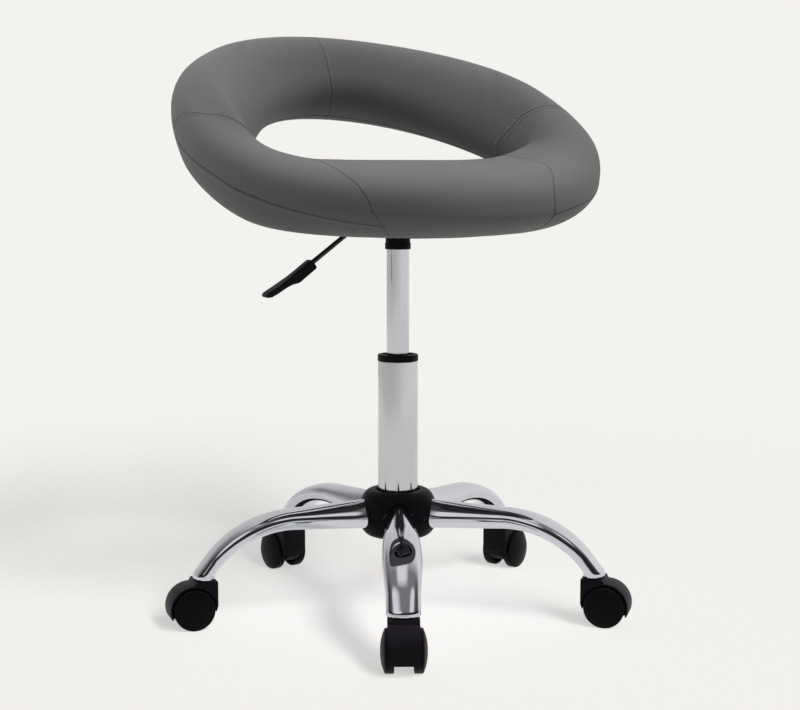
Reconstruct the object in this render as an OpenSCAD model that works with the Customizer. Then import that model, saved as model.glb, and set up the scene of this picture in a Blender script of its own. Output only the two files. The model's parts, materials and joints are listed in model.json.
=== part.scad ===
// Rolling work chair: a padded ring seat on a gas lift and a five-star caster base.
// Millimetres, +Z up. The origin is on the floor under the column, and the sitter faces -Y.

/* [Ring seat] */
// Half the width of the ring's centre line
ring_half_w = 227; // [190:1:260]
// How far the centre line reaches ahead of the column
ring_front = 117; // [95:1:135]
// How far the centre line reaches behind the column
ring_rear = 261; // [225:1:300]
// Height of the centre line at the front over the lift's top
ring_over_lift = 32; // [24:1:40]
// Rise of the centre line from the front to the rear
ring_rise = 161; // [112:1:202]
// Half the depth of the front roll
pad_half_d = 81; // [72:1:88]
// Height of the pad over the centre line
pad_rise = 46; // [40:1:56]
// Depth of the pad under the centre line
pad_fall = 36; // [30:1:42]
// How far the pad runs back over the column from the front roll
pad_reach = 95; // [80:1:110]
// Extra crown of the pad behind its front roll
pad_crown = 7; // [0:1:14]
// Half the width of the backrest's section
back_half_w = 55; // [46:1:62]
// Height of the backrest over the centre line
back_rise = 62; // [52:1:70]
// Depth of the backrest under the centre line
back_fall = 50; // [42:1:58]
// Outward lean of the backrest in degrees
back_lean = 23; // [10:1:30]
// Outward lean of the front roll in degrees
pad_lean = 6.5; // [0:0.5:10]

/* [Seat frame] */
// Height of the seat board's underside over the lift's top
board_over_lift = 20; // [19:0.5:22]
// Thickness of the seat board
board_t = 12; // [9:0.5:14]
// Half the width of the seat board
board_half_w = 130; // [112:1:138]
// Front edge of the board ahead of the column
board_front = 148; // [132:1:156]
// Rear edge of the board behind the column
board_rear = 35; // [32:1:38]
// Diameter of the backrest's hoop bar
hoop_d = 12; // [8:0.5:14]
// Where the hoop's ends lie, in degrees round the ring from its front
hoop_end_a = 30; // [26:1:36]
// Half the width of the mount plate
plate_half_w = 60; // [52:1:70]
// Front edge of the mount plate ahead of the column
plate_front = 95; // [80:1:105]
// Rear edge of the mount plate behind the column
plate_rear = 30; // [29:0.5:31]
// Thickness of the mount plate and its hat
plate_t = 2.5; // [2:0.25:3]
// Half the length of the hat, across the chair
hat_half_l = 36; // [34:0.5:42]
// Half the width of the hat, along the chair
hat_half_w = 25; // [22:0.5:28]
// Depth of the hat under the plate
hat_h = 22.5; // [21.5:0.5:24]
// Bolt diameter
bolt_d = 6; // [5:0.5:8]
// Distance from a bolt to the plate's edge
bolt_inset = 12; // [9:0.5:16]

/* [Lift] */
// Pressure tube diameter
lift_d = 28; // [26:0.5:30]
// Wall of the pressure tube
lift_wall = 2; // [1.5:0.25:2.5]
// Outside diameter of the socket under the seat
collar_d = 32; // [31.5:0.5:36]
// Depth of the socket's lower edge under the lift's top
collar_drop = 22; // [18:1:28]
// Height of the lift's top, which carries the whole seat
lift_top_z = 476; // [468:0.5:520]
// Drop in the tube's diameter over its tapered top
lift_taper = 1.5; // [1:0.1:2]
// Stroke of the lift
stroke = 120; // [80:1:120]
// Clearance under the pressure tube when the seat is fully down
lift_foot_gap = 18.3; // [12:0.1:24]
// Piston rod diameter
rod_d = 10; // [8:0.5:11]
// Release pin diameter
button_d = 8; // [6:0.5:9]

/* [Lever] */
// Rod diameter
lever_d = 6; // [5:0.25:6.5]
// Distance of the pivot from the column's axis
pivot_x = 26; // [25:0.5:28]
// Distance of the rod's bend from the column's axis
bend_x = 55.5; // [50:0.5:60]
// Bend of the rod in degrees
bend_a = 36; // [30:1:38]
// Length of the rod from its bend into the grip
rod_drop_l = 96; // [88:1:104]
// Length of the grip
grip_l = 77; // [70:1:84]
// Height of the grip's thick end
grip_h = 15; // [13:0.5:17]
// Width of the grip's paddle
grip_w = 20; // [17:0.5:24]

/* [Column] */
// Column tube diameter
column_d = 50; // [48:0.5:52]
// Wall of the column tube
column_wall = 2; // [1.5:0.25:2.5]
// Height of the column's top, over its cap
column_top_z = 323.5; // [318:0.5:330]
// Height of the column's lower end
column_foot_z = 92; // [88:1:94]
// Height of the cap ring
cap_h = 8; // [6:0.5:10]
// Height of the flutes at the tube's foot
flute_h = 11; // [8:0.5:13]
// Width of a flute at its lower end
flute_w = 2.6; // [2:0.1:3]
// Number of flutes
flute_n = 9; // [8:1:10]

/* [Base] */
// Radius of the circle of caster stems
stem_circle = 250; // [230:1:270]
// Turn of the base under the seat in degrees
base_turn = -25.5; // [-36:0.5:36]
// Height of the legs' centre line at the hub
leg_z = 124.5; // [122:0.5:126]
// Bend radius of a leg
leg_bend_r = 97; // [85:1:105]
// Downward bend of a leg in degrees
leg_bend_a = 46; // [42:1:50]
// Height of a leg at the hub
leg_root_h = 38; // [35:0.5:40]
// Thickness of a leg at its end
leg_end_h = 20; // [18:0.5:23]
// Width of a leg at its widest
leg_w = 43; // [39:0.5:46]
// Width of a leg at its end
leg_end_w = 38.5; // [35:0.5:41]
// Wall of a leg
leg_wall = 1.6; // [1.2:0.1:2]
// Outside diameter of the steel hub socket
hub_d = 59; // [57:0.5:60]
// Diameter of the hub cover
cover_d = 99; // [96:0.5:104]
// Height of the hub cover's top
cover_top_z = 153.5; // [151:0.5:155]
// Height of the seam between the cover's halves
cover_seam_z = 120.5; // [116:0.5:124]
// Height of the hub cover's lower edge
cover_foot_z = 94.5; // [93:0.5:97]
// Wall of the hub cover
cover_wall = 2.2; // [1.8:0.1:2.6]

/* [Casters] */
// Wheel diameter
wheel_d = 50; // [46:0.5:52]
// Width of one wheel
wheel_w = 15.4; // [13:0.2:17]
// Gap between the two wheels
wheel_gap = 22; // [20:0.5:24]
// Distance from the stem's axis to the axle
trail = 15; // [12:0.5:18]
// Width of the hood
hood_w = 36; // [32:0.5:40]
// Thickness of the hood's arch
hood_wall = 2; // [1.5:0.25:2.5]
// Gap between the wheel's rim and the hood
rim_gap = 2; // [1:0.25:2.5]
// Height of the housing's flat top
caster_top_z = 58.7; // [57:0.1:60]
// Stem diameter
stem_d = 11; // [9:0.5:12]
// Length of stem inside the leg
stem_l = 9.5; // [8:0.25:10]
// Diameter of the spigot that the housing turns on
spigot_d = 8; // [6:0.5:9]
// Axle diameter
axle_d = 6; // [5:0.5:8]

/* [Hidden] */
$fn = 48;

// Clearances and the overrun of every cut
run_gap = 0.05;
soft_gap = 0.3;
cut = 1;

// The ring's form. Each list has its value at the front, at a third and two thirds of the way
// round to the rear, and at the rear.
y_quarter_shares = [0.185, 0.527];
z_quarter_shares = [0.135, 0.655];
w_quarter_shares = [0.735, 0.843];
rise_quarter_shares = [1.02, 1.025];
fall_quarter_shares = [1.26, 1.205];
lean_quarter_shares = [0.97, 1.11];
inner_side_shares = [1.11, 1.02, 0.76, 0.91];
egg_share = -0.06;
square_share = 0.01;
top_power = 2.63;
outer_low_power = 1.57;
inner_low_power = 2.59;
reach_end_a = 80;
ring_front_z = lift_top_z + ring_over_lift;
ring_rear_z = ring_front_z + ring_rise;
y_stations = [-ring_front, -ring_front + y_quarter_shares[0] * (ring_front + ring_rear),
              -ring_front + y_quarter_shares[1] * (ring_front + ring_rear), ring_rear];
z_stations = [ring_front_z, ring_front_z + z_quarter_shares[0] * (ring_rear_z - ring_front_z),
              ring_front_z + z_quarter_shares[1] * (ring_rear_z - ring_front_z), ring_rear_z];
w_stations = [pad_half_d, pad_half_d * w_quarter_shares[0], back_half_w * w_quarter_shares[1], back_half_w];
rise_stations = [pad_rise, pad_rise * rise_quarter_shares[0], back_rise * rise_quarter_shares[1], back_rise];
fall_stations = [pad_fall, pad_fall * fall_quarter_shares[0], back_fall * fall_quarter_shares[1], back_fall];
lean_stations = [pad_lean, pad_lean * lean_quarter_shares[0], back_lean * lean_quarter_shares[1], back_lean];
ring_steps = 38;
section_steps = 24;
hoop_steps = 24;
hoop_sides = 8;
hoop_socket_a = 2;
hoop_sweep_a = 360 - 2 * hoop_end_a;
tangent_step_a = 0.5;

// Seat frame
board_z = lift_top_z + board_over_lift;
board_top_z = board_z + board_t;
plate_z = board_z - plate_t;
hat_z = plate_z - hat_h;
plate_corner_r = bolt_inset;
board_power = 3.2;
board_steps = 36;
bolt_xs = [-(plate_half_w - bolt_inset), plate_half_w - bolt_inset];
bolt_ys = [-(plate_front - bolt_inset), plate_rear - bolt_inset];
bolt_head_d = 11;
bolt_head_h = 3.5;
nut_wall = 1;
nut_d = bolt_d + 2 * nut_wall;
nut_flange_d = 18;
nut_flange_t = 1.2;
nut_short = 3;
nut_l = board_t - nut_short;
bolt_tip = 1.5;
recess_gap = 4;

// Lift
collar_z = lift_top_z - collar_drop;
collar_lip = 0.5;
collar_top_z = lift_top_z + collar_lip;
collar_chamfer = 1;
foot_t = 3;
clip_d = 18;
clip_t = 1.6;
rod_tail = 3;
bearing_d = 24;
washer_t = 1.2;
ball_h = 2.8;
bearing_z = column_foot_z + foot_t;
bearing_top_z = bearing_z + 2 * washer_t + ball_h;
lift_cap_t = 6;
lift_foot_z = bearing_top_z + lift_foot_gap + stroke;
button_gap = 0.3;
lever_over_lift = 8;
lever_z = lift_top_z + lever_over_lift;
button_top_z = lever_z - lever_d / 2 - button_gap;
button_l = 26;
gland_h = 16;
piston_gap = 8;
piston_z = lift_foot_z + gland_h + piston_gap;
piston_h = 10;

// Lever, along -X
rod_inner_end = 1;
rod_bend_r = 14;
pin_d = 3;
pin_half_l = 7.5;
bush_half_w = 8;
bush_back_x = 20;
slot_w = lever_d + 2 * soft_gap;
slot_play = 2;
slot_h = lever_d + 2 * slot_play;
lever_side_gap = 5;
lever_slot_w = lever_d + 2 * lever_side_gap;
lever_slot_reach = 92;
rod_sides = 20;
rod_bend_steps = 6;
grip_turn = -2;
grip_inset = 22;
// Side outline of the grip: first share out along it, second share up from the rod's axis
grip_side_shares = [[0, -0.5], [0, 0.3], [0.035, 0.43], [0.55, 0.4], [0.9, 0.42], [0.98, 0.36], [1, 0.2],
                    [0.98, 0], [0.92, -0.14], [0.8, -0.22], [0.6, -0.26], [0.48, -0.36], [0.36, -0.56],
                    [0.32, -0.57], [0.02, -0.57]];
// Half outline of the grip from above, from its inner end to its tip
grip_plan_shares = [[0, 0.27], [0.02, 0.33], [0.3, 0.34], [0.45, 0.4], [0.62, 0.48], [0.8, 0.5], [0.92, 0.46],
                    [0.98, 0.34], [1, 0.15]];

// Column and hub
column_r = column_d / 2;
bore_r = column_r - column_wall;
cap_lip = 0.3;
cap_play = 0.5;
bush_h = 77.5;
flute_foot_z = cover_top_z + soft_gap;
flute_tip_share = 0.3;
flute_depth = 1;
flute_tail = 3;
column_taper = 1.5;
socket_z = cover_foot_z + cover_wall + soft_gap;
socket_head_gap = 3.3;
socket_top_z = cover_top_z - cover_wall - socket_head_gap;
// How round the cover's section is, out and up, under and over its seam
cover_low_out_power = 0.75;
cover_low_up_power = 1.1;
cover_high_in_power = 0.7;
cover_high_up_power = 1.15;
cover_steps = 8;

// Legs
flange_t = 1.8;
leg_end_z = caster_top_z + flange_t;
leg_lip_h = 5;
leg_root_w = 33;
saddle_r = hub_d / 2 + soft_gap;
leg_drop = leg_z - leg_end_z - leg_lip_h;
leg_bend_drop = leg_bend_r * (1 - cos(leg_bend_a));
leg_slope_l = (leg_drop - leg_bend_drop) / sin(leg_bend_a);
leg_straight_end = stem_circle - leg_bend_r * sin(leg_bend_a) - leg_slope_l * cos(leg_bend_a);
leg_straight_shares = [0, 0.16, 0.5, 1];
leg_bend_steps = 6;
leg_sides = 16;
leg_low_share = 0.22;
leg_root_power = 1.5;
leg_top_power = 2;
leg_bottom_power = 2.2;
leg_lip_half_l = 13;
opening_gap = 0.6;
leg_taper_share = 0.62;
leg_swell_share = 0.42;
leg_lip_share = 0.06;

// Casters
wheel_r = wheel_d / 2;
axle_z = wheel_r;
hood_r = wheel_r + rim_gap + hood_wall;
lane_r = wheel_r + rim_gap;
wheel_side_gap = 0.5;
web_w = wheel_gap - 2 * wheel_side_gap;
web_foot_z = 12;
stem_wall_x = -14;
platform_x = 19;
stem_wall_foot_z = 22;
slant_in = 9;
slant_drop = 10;
hood_heel_z = 17;
hood_heel_in = 8;
hood_heel_drop = 9;
platform_round = 2;
flange_d = 16;
spigot_l = 15;
grip_ring_w = 2;
sleeve_wall = 1;
sleeve_l = 6.2;
insert_t = 2.2;
axle_hold_l = 11;
axle_l = wheel_gap + 2 * axle_hold_l;
wheel_rim_t = 3.2;
wheel_disc_t = 3;
wheel_boss_d = 13;
wheel_dome = 0.8;
wheel_round = 2;
wheel_face_share = 0.6;
wheel_dome_share = 0.25;
stem_chamfer = 1;
wheel_play = 0.3;

// Functions of the ring

// Value round the ring from its four stations, with the same value on both sides
function along(s, t) =
    let (a0 = (s[0] + 2 * s[1] + 2 * s[2] + s[3]) / 6, a1 = (s[0] + s[1] - s[2] - s[3]) / 3,
         a2 = (s[0] - s[1] - s[2] + s[3]) / 3, a3 = (s[0] - 2 * s[1] + 2 * s[2] - s[3]) / 6)
    a0 + a1 * cos(t) + a2 * cos(2 * t) + a3 * cos(3 * t);
function signed_pow(v, p) = sign(v) * pow(abs(v), p);
function unit(v) = v / norm(v);
function centre(t) =
    [ring_half_w * (sin(t) * (1 + egg_share * cos(t)) + square_share * (sin(3 * t) + sin(t))),
     along(y_stations, t), along(z_stations, t)];
function ring_tangent(t) = unit(centre(t + tangent_step_a) - centre(t - tangent_step_a));
function ring_out(t) = let (d = ring_tangent(t)) unit([d[1], -d[0], 0]);
// How much of the pad's reach over the column applies, 1 at the front and 0 past its end angle
function reach_at(t) =
    let (b = max(0, (cos(t) - cos(reach_end_a)) / (1 - cos(reach_end_a)))) b * b * (3 - 2 * b);
// Point of the ring's skin: t runs round the ring from its front, a round the section from outside
function skin(t, a) =
    let (c = cos(a), s = sin(a), n = ring_out(t), lean = along(lean_stations, t), b = reach_at(t),
         e = s >= 0 ? top_power : c >= 0 ? outer_low_power : inner_low_power,
         w = along(w_stations, t) * (c < 0 ? along(inner_side_shares, t) : 1),
         r = w * signed_pow(c, 2 / e),
         h = along(s >= 0 ? rise_stations : fall_stations, t) * signed_pow(s, 2 / e),
         inner = max(0, -c))
    centre(t) + n * (r * cos(lean) + h * sin(lean)) + [0, pad_reach * b * pow(inner, 2 / e), 0]
        + [0, 0, -r * sin(lean) + h * cos(lean) + 2 * pad_crown * b * inner * max(0, s)];
// Point of a round bar that follows the centre line, lifted so that its ends lie on the board
function hoop_lift() = board_top_z + hoop_d / 2 - along(z_stations, hoop_end_a);
function hoop_point(t, a, r) =
    let (d = ring_tangent(t), n = ring_out(t), u = cross(n, d))
    centre(t) + [0, 0, hoop_lift()] + n * r * cos(a) + u * r * sin(a);

// Triangles of a strip of rings, closed round each ring; the last ring joins the first if looped
function strip(rings, sides, looped) =
    [for (i = [0:rings - (looped ? 1 : 2)]) for (j = [0:sides - 1])
        let (p = i * sides, q = ((i + 1) % rings) * sides, k = (j + 1) % sides)
        each [[p + j, q + k, p + k], [p + j, q + j, q + k]]];
function fan(first, sides, flip) =
    [for (j = [1:sides - 2]) flip ? [first, first + j + 1, first + j] : [first, first + j, first + j + 1]];
function arc(cx, cy, r, a0, a1, n) =
    [for (i = [0:n]) let (a = a0 + (a1 - a0) * i / n) [cx + r * cos(a), cy + r * sin(a)]];
function rounded_box(x0, x1, y0, y1, r) =
    concat(arc(x1 - r, y1 - r, r, 0, 90, 6), arc(x0 + r, y1 - r, r, 90, 180, 6),
           arc(x0 + r, y0 + r, r, 180, 270, 6), arc(x1 - r, y0 + r, r, 270, 360, 6));

// Seat

module ring_body() {
    polyhedron([for (i = [0:ring_steps - 1]) for (j = [0:section_steps - 1])
                    skin(360 * i / ring_steps, -360 * j / section_steps)],
               strip(ring_steps, section_steps, true));
}

// Round bar along the centre line, which runs on past both of its ends by the given angle
module hoop_bar(r, past_a) {
    bends = [for (i = [0:hoop_steps]) hoop_end_a + hoop_sweep_a * i / hoop_steps];
    places = past_a > 0 ? concat([hoop_end_a - past_a], bends, [360 - hoop_end_a + past_a]) : bends;
    last = len(places) - 1;
    polyhedron([for (t = places) for (j = [0:hoop_sides - 1]) hoop_point(t, -360 * j / hoop_sides, r)],
               concat(strip(last + 1, hoop_sides, false), fan(0, hoop_sides, false),
                      fan(last * hoop_sides, hoop_sides, true)));
}

function board_outline(gap) =
    let (y0 = (board_rear - board_front) / 2, hy = (board_rear + board_front) / 2 + gap,
         hx = board_half_w + gap)
    [for (i = [0:board_steps - 1])
        let (a = 360 * i / board_steps)
        [hx * signed_pow(cos(a), 2 / board_power), y0 + hy * signed_pow(sin(a), 2 / board_power)]];

module seat_cushion() {
    color("#6b6d6c")
    difference() {
        ring_body();
        translate([0, 0, board_z - soft_gap])
            linear_extrude(board_t + 2 * soft_gap) polygon(board_outline(soft_gap));
        hoop_bar(hoop_d / 2 + soft_gap, hoop_socket_a);
        translate([0, 0, hat_z - pad_fall])
            linear_extrude(board_z - hat_z + pad_fall)
                polygon(rounded_box(-plate_half_w - recess_gap, plate_half_w + recess_gap,
                                    -plate_front - recess_gap, plate_rear + recess_gap,
                                    plate_corner_r + recess_gap));
        translate([-lever_slot_reach, -lever_slot_w / 2, hat_z - pad_fall])
            cube([lever_slot_reach, lever_slot_w, board_z - hat_z + pad_fall]);
    }
}

module seat_board() {
    color("#b98f5e")
    difference() {
        translate([0, 0, board_z]) linear_extrude(board_t) polygon(board_outline(0));
        for (x = bolt_xs) for (y = bolt_ys) translate([x, y, 0]) {
            translate([0, 0, board_z - cut]) cylinder(d = nut_d + 2 * run_gap, h = board_t + 2 * cut);
            translate([0, 0, board_top_z - nut_flange_t])
                cylinder(d = nut_flange_d + 2 * run_gap, h = nut_flange_t + cut);
        }
    }
}

module back_hoop() {
    color("#3a3a3c") hoop_bar(hoop_d / 2, 0);
}

module tee_nuts() {
    color("#b9bcc0")
    for (x = bolt_xs) for (y = bolt_ys) translate([x, y, board_top_z])
        rotate_extrude()
            polygon([[bolt_d / 2 + run_gap, -nut_l], [nut_d / 2, -nut_l], [nut_d / 2, -nut_flange_t],
                     [nut_flange_d / 2, -nut_flange_t], [nut_flange_d / 2, 0], [bolt_d / 2 + run_gap, 0]]);
}

module mount_plate() {
    color("#26252a")
    difference() {
        union() {
            translate([0, 0, plate_z]) linear_extrude(plate_t)
                polygon(rounded_box(-plate_half_w, plate_half_w, -plate_front, plate_rear, plate_corner_r));
            difference() {
                translate([-hat_half_l, -hat_half_w, hat_z]) cube([2 * hat_half_l, 2 * hat_half_w, hat_h]);
                translate([plate_t - hat_half_l, plate_t - hat_half_w, hat_z + plate_t])
                    cube([2 * (hat_half_l - plate_t), 2 * (hat_half_w - plate_t), hat_h - plate_t]);
            }
        }
        translate([0, 0, hat_z - cut]) cylinder(d = collar_d + 2 * run_gap, h = plate_t + 2 * cut);
        translate([-hat_half_l - cut, -slot_w / 2, lever_z - slot_h / 2])
            cube([plate_t + 2 * cut, slot_w, slot_h]);
        for (x = bolt_xs) for (y = bolt_ys)
            translate([x, y, plate_z - cut]) cylinder(d = bolt_d + 2 * soft_gap, h = plate_t + 2 * cut);
    }
}

module taper_socket() {
    color("#17161a")
    difference() {
        union() {
            translate([0, 0, collar_z])
                cylinder(d1 = collar_d - 2 * collar_chamfer, d2 = collar_d, h = collar_chamfer);
            translate([0, 0, collar_z + collar_chamfer])
                cylinder(d = collar_d, h = collar_top_z - collar_z - collar_chamfer);
        }
        translate([0, 0, collar_z])
            cylinder(d1 = lift_d, d2 = lift_d - lift_taper, h = lift_top_z - collar_z);
        translate([0, 0, collar_z - cut]) cylinder(d = lift_d, h = cut);
        translate([0, 0, lift_top_z]) cylinder(d = lift_d - lift_taper, h = collar_top_z - lift_top_z + cut);
    }
}

module plate_bolts() {
    color("#2b2b2e")
    for (x = bolt_xs) for (y = bolt_ys) translate([x, y, 0]) {
        translate([0, 0, plate_z - bolt_head_h]) cylinder(d = bolt_head_d, h = bolt_head_h);
        translate([0, 0, plate_z]) cylinder(d = bolt_d, h = board_top_z - plate_z - bolt_tip);
    }
}

// Lever

module lever_bush() {
    color("#1d1c20")
    difference() {
        translate([plate_t - hat_half_l, -bush_half_w, hat_z + plate_t])
            cube([hat_half_l - plate_t - bush_back_x, 2 * bush_half_w, hat_h - plate_t]);
        translate([-hat_half_l - cut, -slot_w / 2, lever_z - slot_h / 2])
            cube([hat_half_l + cut, slot_w, slot_h]);
        translate([-pivot_x, -bush_half_w - cut, lever_z]) rotate([-90, 0, 0])
            cylinder(d = pin_d + 2 * run_gap, h = 2 * (bush_half_w + cut));
    }
}

// Ring of the rod about a point of its axis, square to it, where the rod slopes down by the angle -a
function rod_ring(x, z, a) =
    [for (j = [0:rod_sides - 1])
        let (c = lever_d / 2 * cos(360 * j / rod_sides), q = lever_d / 2 * sin(360 * j / rod_sides))
        [x + c * sin(a), q, z + c * cos(a)]];

module lever_rod() {
    t = rod_bend_r * tan(bend_a / 2);
    tip = rod_drop_l;
    rings = rod_bend_steps + 3;
    color("#111113") {
        polyhedron(concat(rod_ring(rod_inner_end, lever_z, 0),
                          [for (i = [0:rod_bend_steps])
                              let (a = bend_a * i / rod_bend_steps)
                              each rod_ring(t - bend_x - rod_bend_r * sin(a),
                                            lever_z - rod_bend_r * (1 - cos(a)), -a)],
                          rod_ring(-bend_x - tip * cos(bend_a), lever_z - tip * sin(bend_a), -bend_a)),
                   concat(strip(rings, rod_sides, false), fan(0, rod_sides, false),
                          fan((rings - 1) * rod_sides, rod_sides, true)));
        translate([-pivot_x, -pin_half_l, lever_z]) rotate([-90, 0, 0])
            cylinder(d = pin_d, h = 2 * pin_half_l);
    }
}

module lever_handle() {
    color("#1b1a1e")
    translate([-bend_x, 0, lever_z]) rotate([0, -bend_a, 0]) mirror([1, 0, 0])
        translate([rod_drop_l - grip_inset, 0, 0]) rotate([0, grip_turn, 0])
        difference() {
            intersection() {
                rotate([90, 0, 0]) linear_extrude(grip_w, center = true)
                    polygon([for (p = grip_side_shares) [p[0] * grip_l, p[1] * grip_h]]);
                linear_extrude(2 * grip_h, center = true)
                    polygon(concat([for (p = grip_plan_shares) [p[0] * grip_l, p[1] * grip_w]],
                                   [for (i = [len(grip_plan_shares) - 1:-1:0])
                                       [grip_plan_shares[i][0] * grip_l, -grip_plan_shares[i][1] * grip_w]]));
            }
            rotate([0, -grip_turn, 0]) translate([-cut, 0, 0]) rotate([0, 90, 0])
                cylinder(d = lever_d, h = grip_inset + cut);
        }
}

module release_button() {
    color("#c9ccd0") translate([0, 0, button_top_z - button_l]) cylinder(d = button_d, h = button_l);
}

// Lift

module pressure_tube() {
    color("#c4c6ca")
    rotate_extrude()
        polygon([[lift_d / 2 - lift_wall, lift_foot_z], [lift_d / 2, lift_foot_z], [lift_d / 2, collar_z],
                 [(lift_d - lift_taper) / 2, lift_top_z], [button_d / 2 + run_gap, lift_top_z],
                 [button_d / 2 + run_gap, lift_top_z - lift_cap_t],
                 [lift_d / 2 - lift_wall, lift_top_z - lift_cap_t]]);
}

module tube_gland() {
    color("#1f1e22") translate([0, 0, lift_foot_z])
        difference() {
            cylinder(d = lift_d - 2 * lift_wall, h = gland_h);
            translate([0, 0, -cut]) cylinder(d = rod_d + 2 * run_gap, h = gland_h + 2 * cut);
        }
}

module piston_rod() {
    color("#b4b7bb") translate([0, 0, column_foot_z - clip_t - rod_tail])
        cylinder(d = rod_d, h = piston_z + piston_h - column_foot_z + clip_t + rod_tail);
}

module piston_head() {
    color("#55565a") translate([0, 0, piston_z])
        difference() {
            cylinder(d = lift_d - 2 * lift_wall - 2 * run_gap, h = piston_h);
            translate([0, 0, -cut]) cylinder(d = rod_d, h = piston_h + 2 * cut);
        }
}

module ring(d, bore, z, h) {
    difference() {
        translate([0, 0, z]) cylinder(d = d, h = h);
        translate([0, 0, z - cut]) cylinder(d = bore, h = h + 2 * cut);
    }
}

module thrust_bearing() {
    color("#9a9ca0") {
        ring(bearing_d, rod_d, bearing_z, washer_t);
        ring(bearing_d - 2 * washer_t, rod_d + 2 * washer_t, bearing_z + washer_t, ball_h);
        ring(bearing_d, rod_d, bearing_z + washer_t + ball_h, washer_t);
    }
}

module rod_clip() {
    color("#77797d") ring(clip_d, rod_d, column_foot_z - clip_t, clip_t);
}

// Column and hub

module column_tube() {
    tip = flute_w * flute_tip_share;
    color("#c9ccd0")
    difference() {
        rotate_extrude()
            polygon([[bore_r - column_taper, column_foot_z], [column_r - column_taper, column_foot_z],
                     [column_r - column_taper / 2, socket_top_z], [column_r, flute_foot_z],
                     [column_r, column_top_z - cap_h], [bore_r, column_top_z - cap_h],
                     [bore_r, flute_foot_z], [bore_r - column_taper, socket_top_z]]);
        for (i = [0:flute_n - 1]) rotate([0, 0, 360 * i / flute_n + base_turn - 90])
            translate([column_r - flute_depth, 0, flute_foot_z]) rotate([90, 0, 90])
                linear_extrude(flute_depth + cut)
                    polygon([[-flute_w / 2, -flute_tail], [flute_w / 2, -flute_tail], [tip / 2, flute_h],
                             [-tip / 2, flute_h]]);
    }
}

module column_cap() {
    color("#141317") ring(column_d + 2 * cap_lip, lift_d + 2 * cap_play, column_top_z - cap_h, cap_h);
}

module guide_bush() {
    color("#2c2b30")
        ring(2 * bore_r, lift_d + 2 * run_gap, column_top_z - cap_h - bush_h, bush_h);
}

module column_foot() {
    color("#8d8f93") ring(2 * (bore_r - column_taper), rod_d + 2 * run_gap, column_foot_z, foot_t);
}

module hub_socket() {
    lower_r = column_r - column_taper;
    slope = (column_taper / 2) / (socket_top_z - column_foot_z);
    color("#8a8c90")
    rotate_extrude()
        polygon([[lower_r + slope * (socket_z - column_foot_z), socket_z], [hub_d / 2, socket_z],
                 [hub_d / 2, socket_top_z], [column_r - column_taper / 2, socket_top_z]]);
}

// Outer profile of the hub cover: radius and height from the lower edge up to the mouth
function cover_profile(inset) =
    let (r = cover_d / 2 - inset, top = cover_top_z - inset, foot = cover_foot_z + inset,
         mid = cover_seam_z, mouth = column_r + cover_wall * 2)
    concat([for (i = [0:cover_steps])
                let (a = 90 * i / cover_steps)
                [mouth + (r - mouth) * pow(sin(a), cover_low_out_power),
                 foot + (mid - foot) * (1 - pow(cos(a), cover_low_up_power))]],
           [for (i = [1:cover_steps])
                let (a = 90 * i / cover_steps)
                [mouth + (r - mouth) * pow(cos(a), cover_high_in_power),
                 mid + (top - mid) * pow(sin(a), cover_high_up_power)]]);

module cover_shell() {
    difference() {
        rotate_extrude() polygon(concat([[0, cover_foot_z]], cover_profile(0), [[0, cover_top_z]]));
        rotate_extrude()
            polygon(concat([[0, cover_foot_z + cover_wall]], cover_profile(cover_wall),
                           [[0, cover_top_z - cover_wall]]));
        translate([0, 0, cover_foot_z - cut])
            cylinder(r = column_r + soft_gap, h = cover_top_z - cover_foot_z + 2 * cut);
        for (k = [1:5]) leg_turn(k) leg_tunnel();
    }
}

module hub_cover_upper() {
    color("#17161a")
    intersection() {
        cover_shell();
        translate([0, 0, cover_seam_z]) cylinder(d = 2 * cover_d, h = cover_top_z);
    }
}

module hub_cover_lower() {
    color("#17161a")
    intersection() {
        cover_shell();
        cylinder(d = 2 * cover_d, h = cover_seam_z);
    }
}

// Legs

module leg_turn(k) {
    rotate([0, 0, base_turn - 90 + 72 * (k - 1)]) children();
}

// Share of the way from the hub to the end of the bend
function leg_share(x) = min(1, max(0, (x - hub_d / 2) / (leg_straight_end - hub_d / 2)));
function leg_half_h(s, b) =
    (leg_root_h + (leg_end_h - leg_root_h) * (leg_taper_share * s + (1 - leg_taper_share) * b)) / 2;
function leg_half_w(s, b) =
    (leg_root_w + (leg_w - leg_root_w) * sin(90 * min(1, s / leg_swell_share)) + (leg_end_w - leg_w) * b) / 2;
// One point of a leg's section: across the leg, and up from its widest level
function leg_section(a, hw, hh, low, power) =
    let (c = cos(a), s = sin(a), p = s >= 0 ? power : leg_bottom_power)
    [hw * signed_pow(c, 2 / p), (s >= 0 ? hh * (1 + low) : hh * (1 - low)) * signed_pow(s, 2 / p) - hh * low];
function leg_power(s) = leg_root_power + (leg_top_power - leg_root_power) * s;
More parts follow.
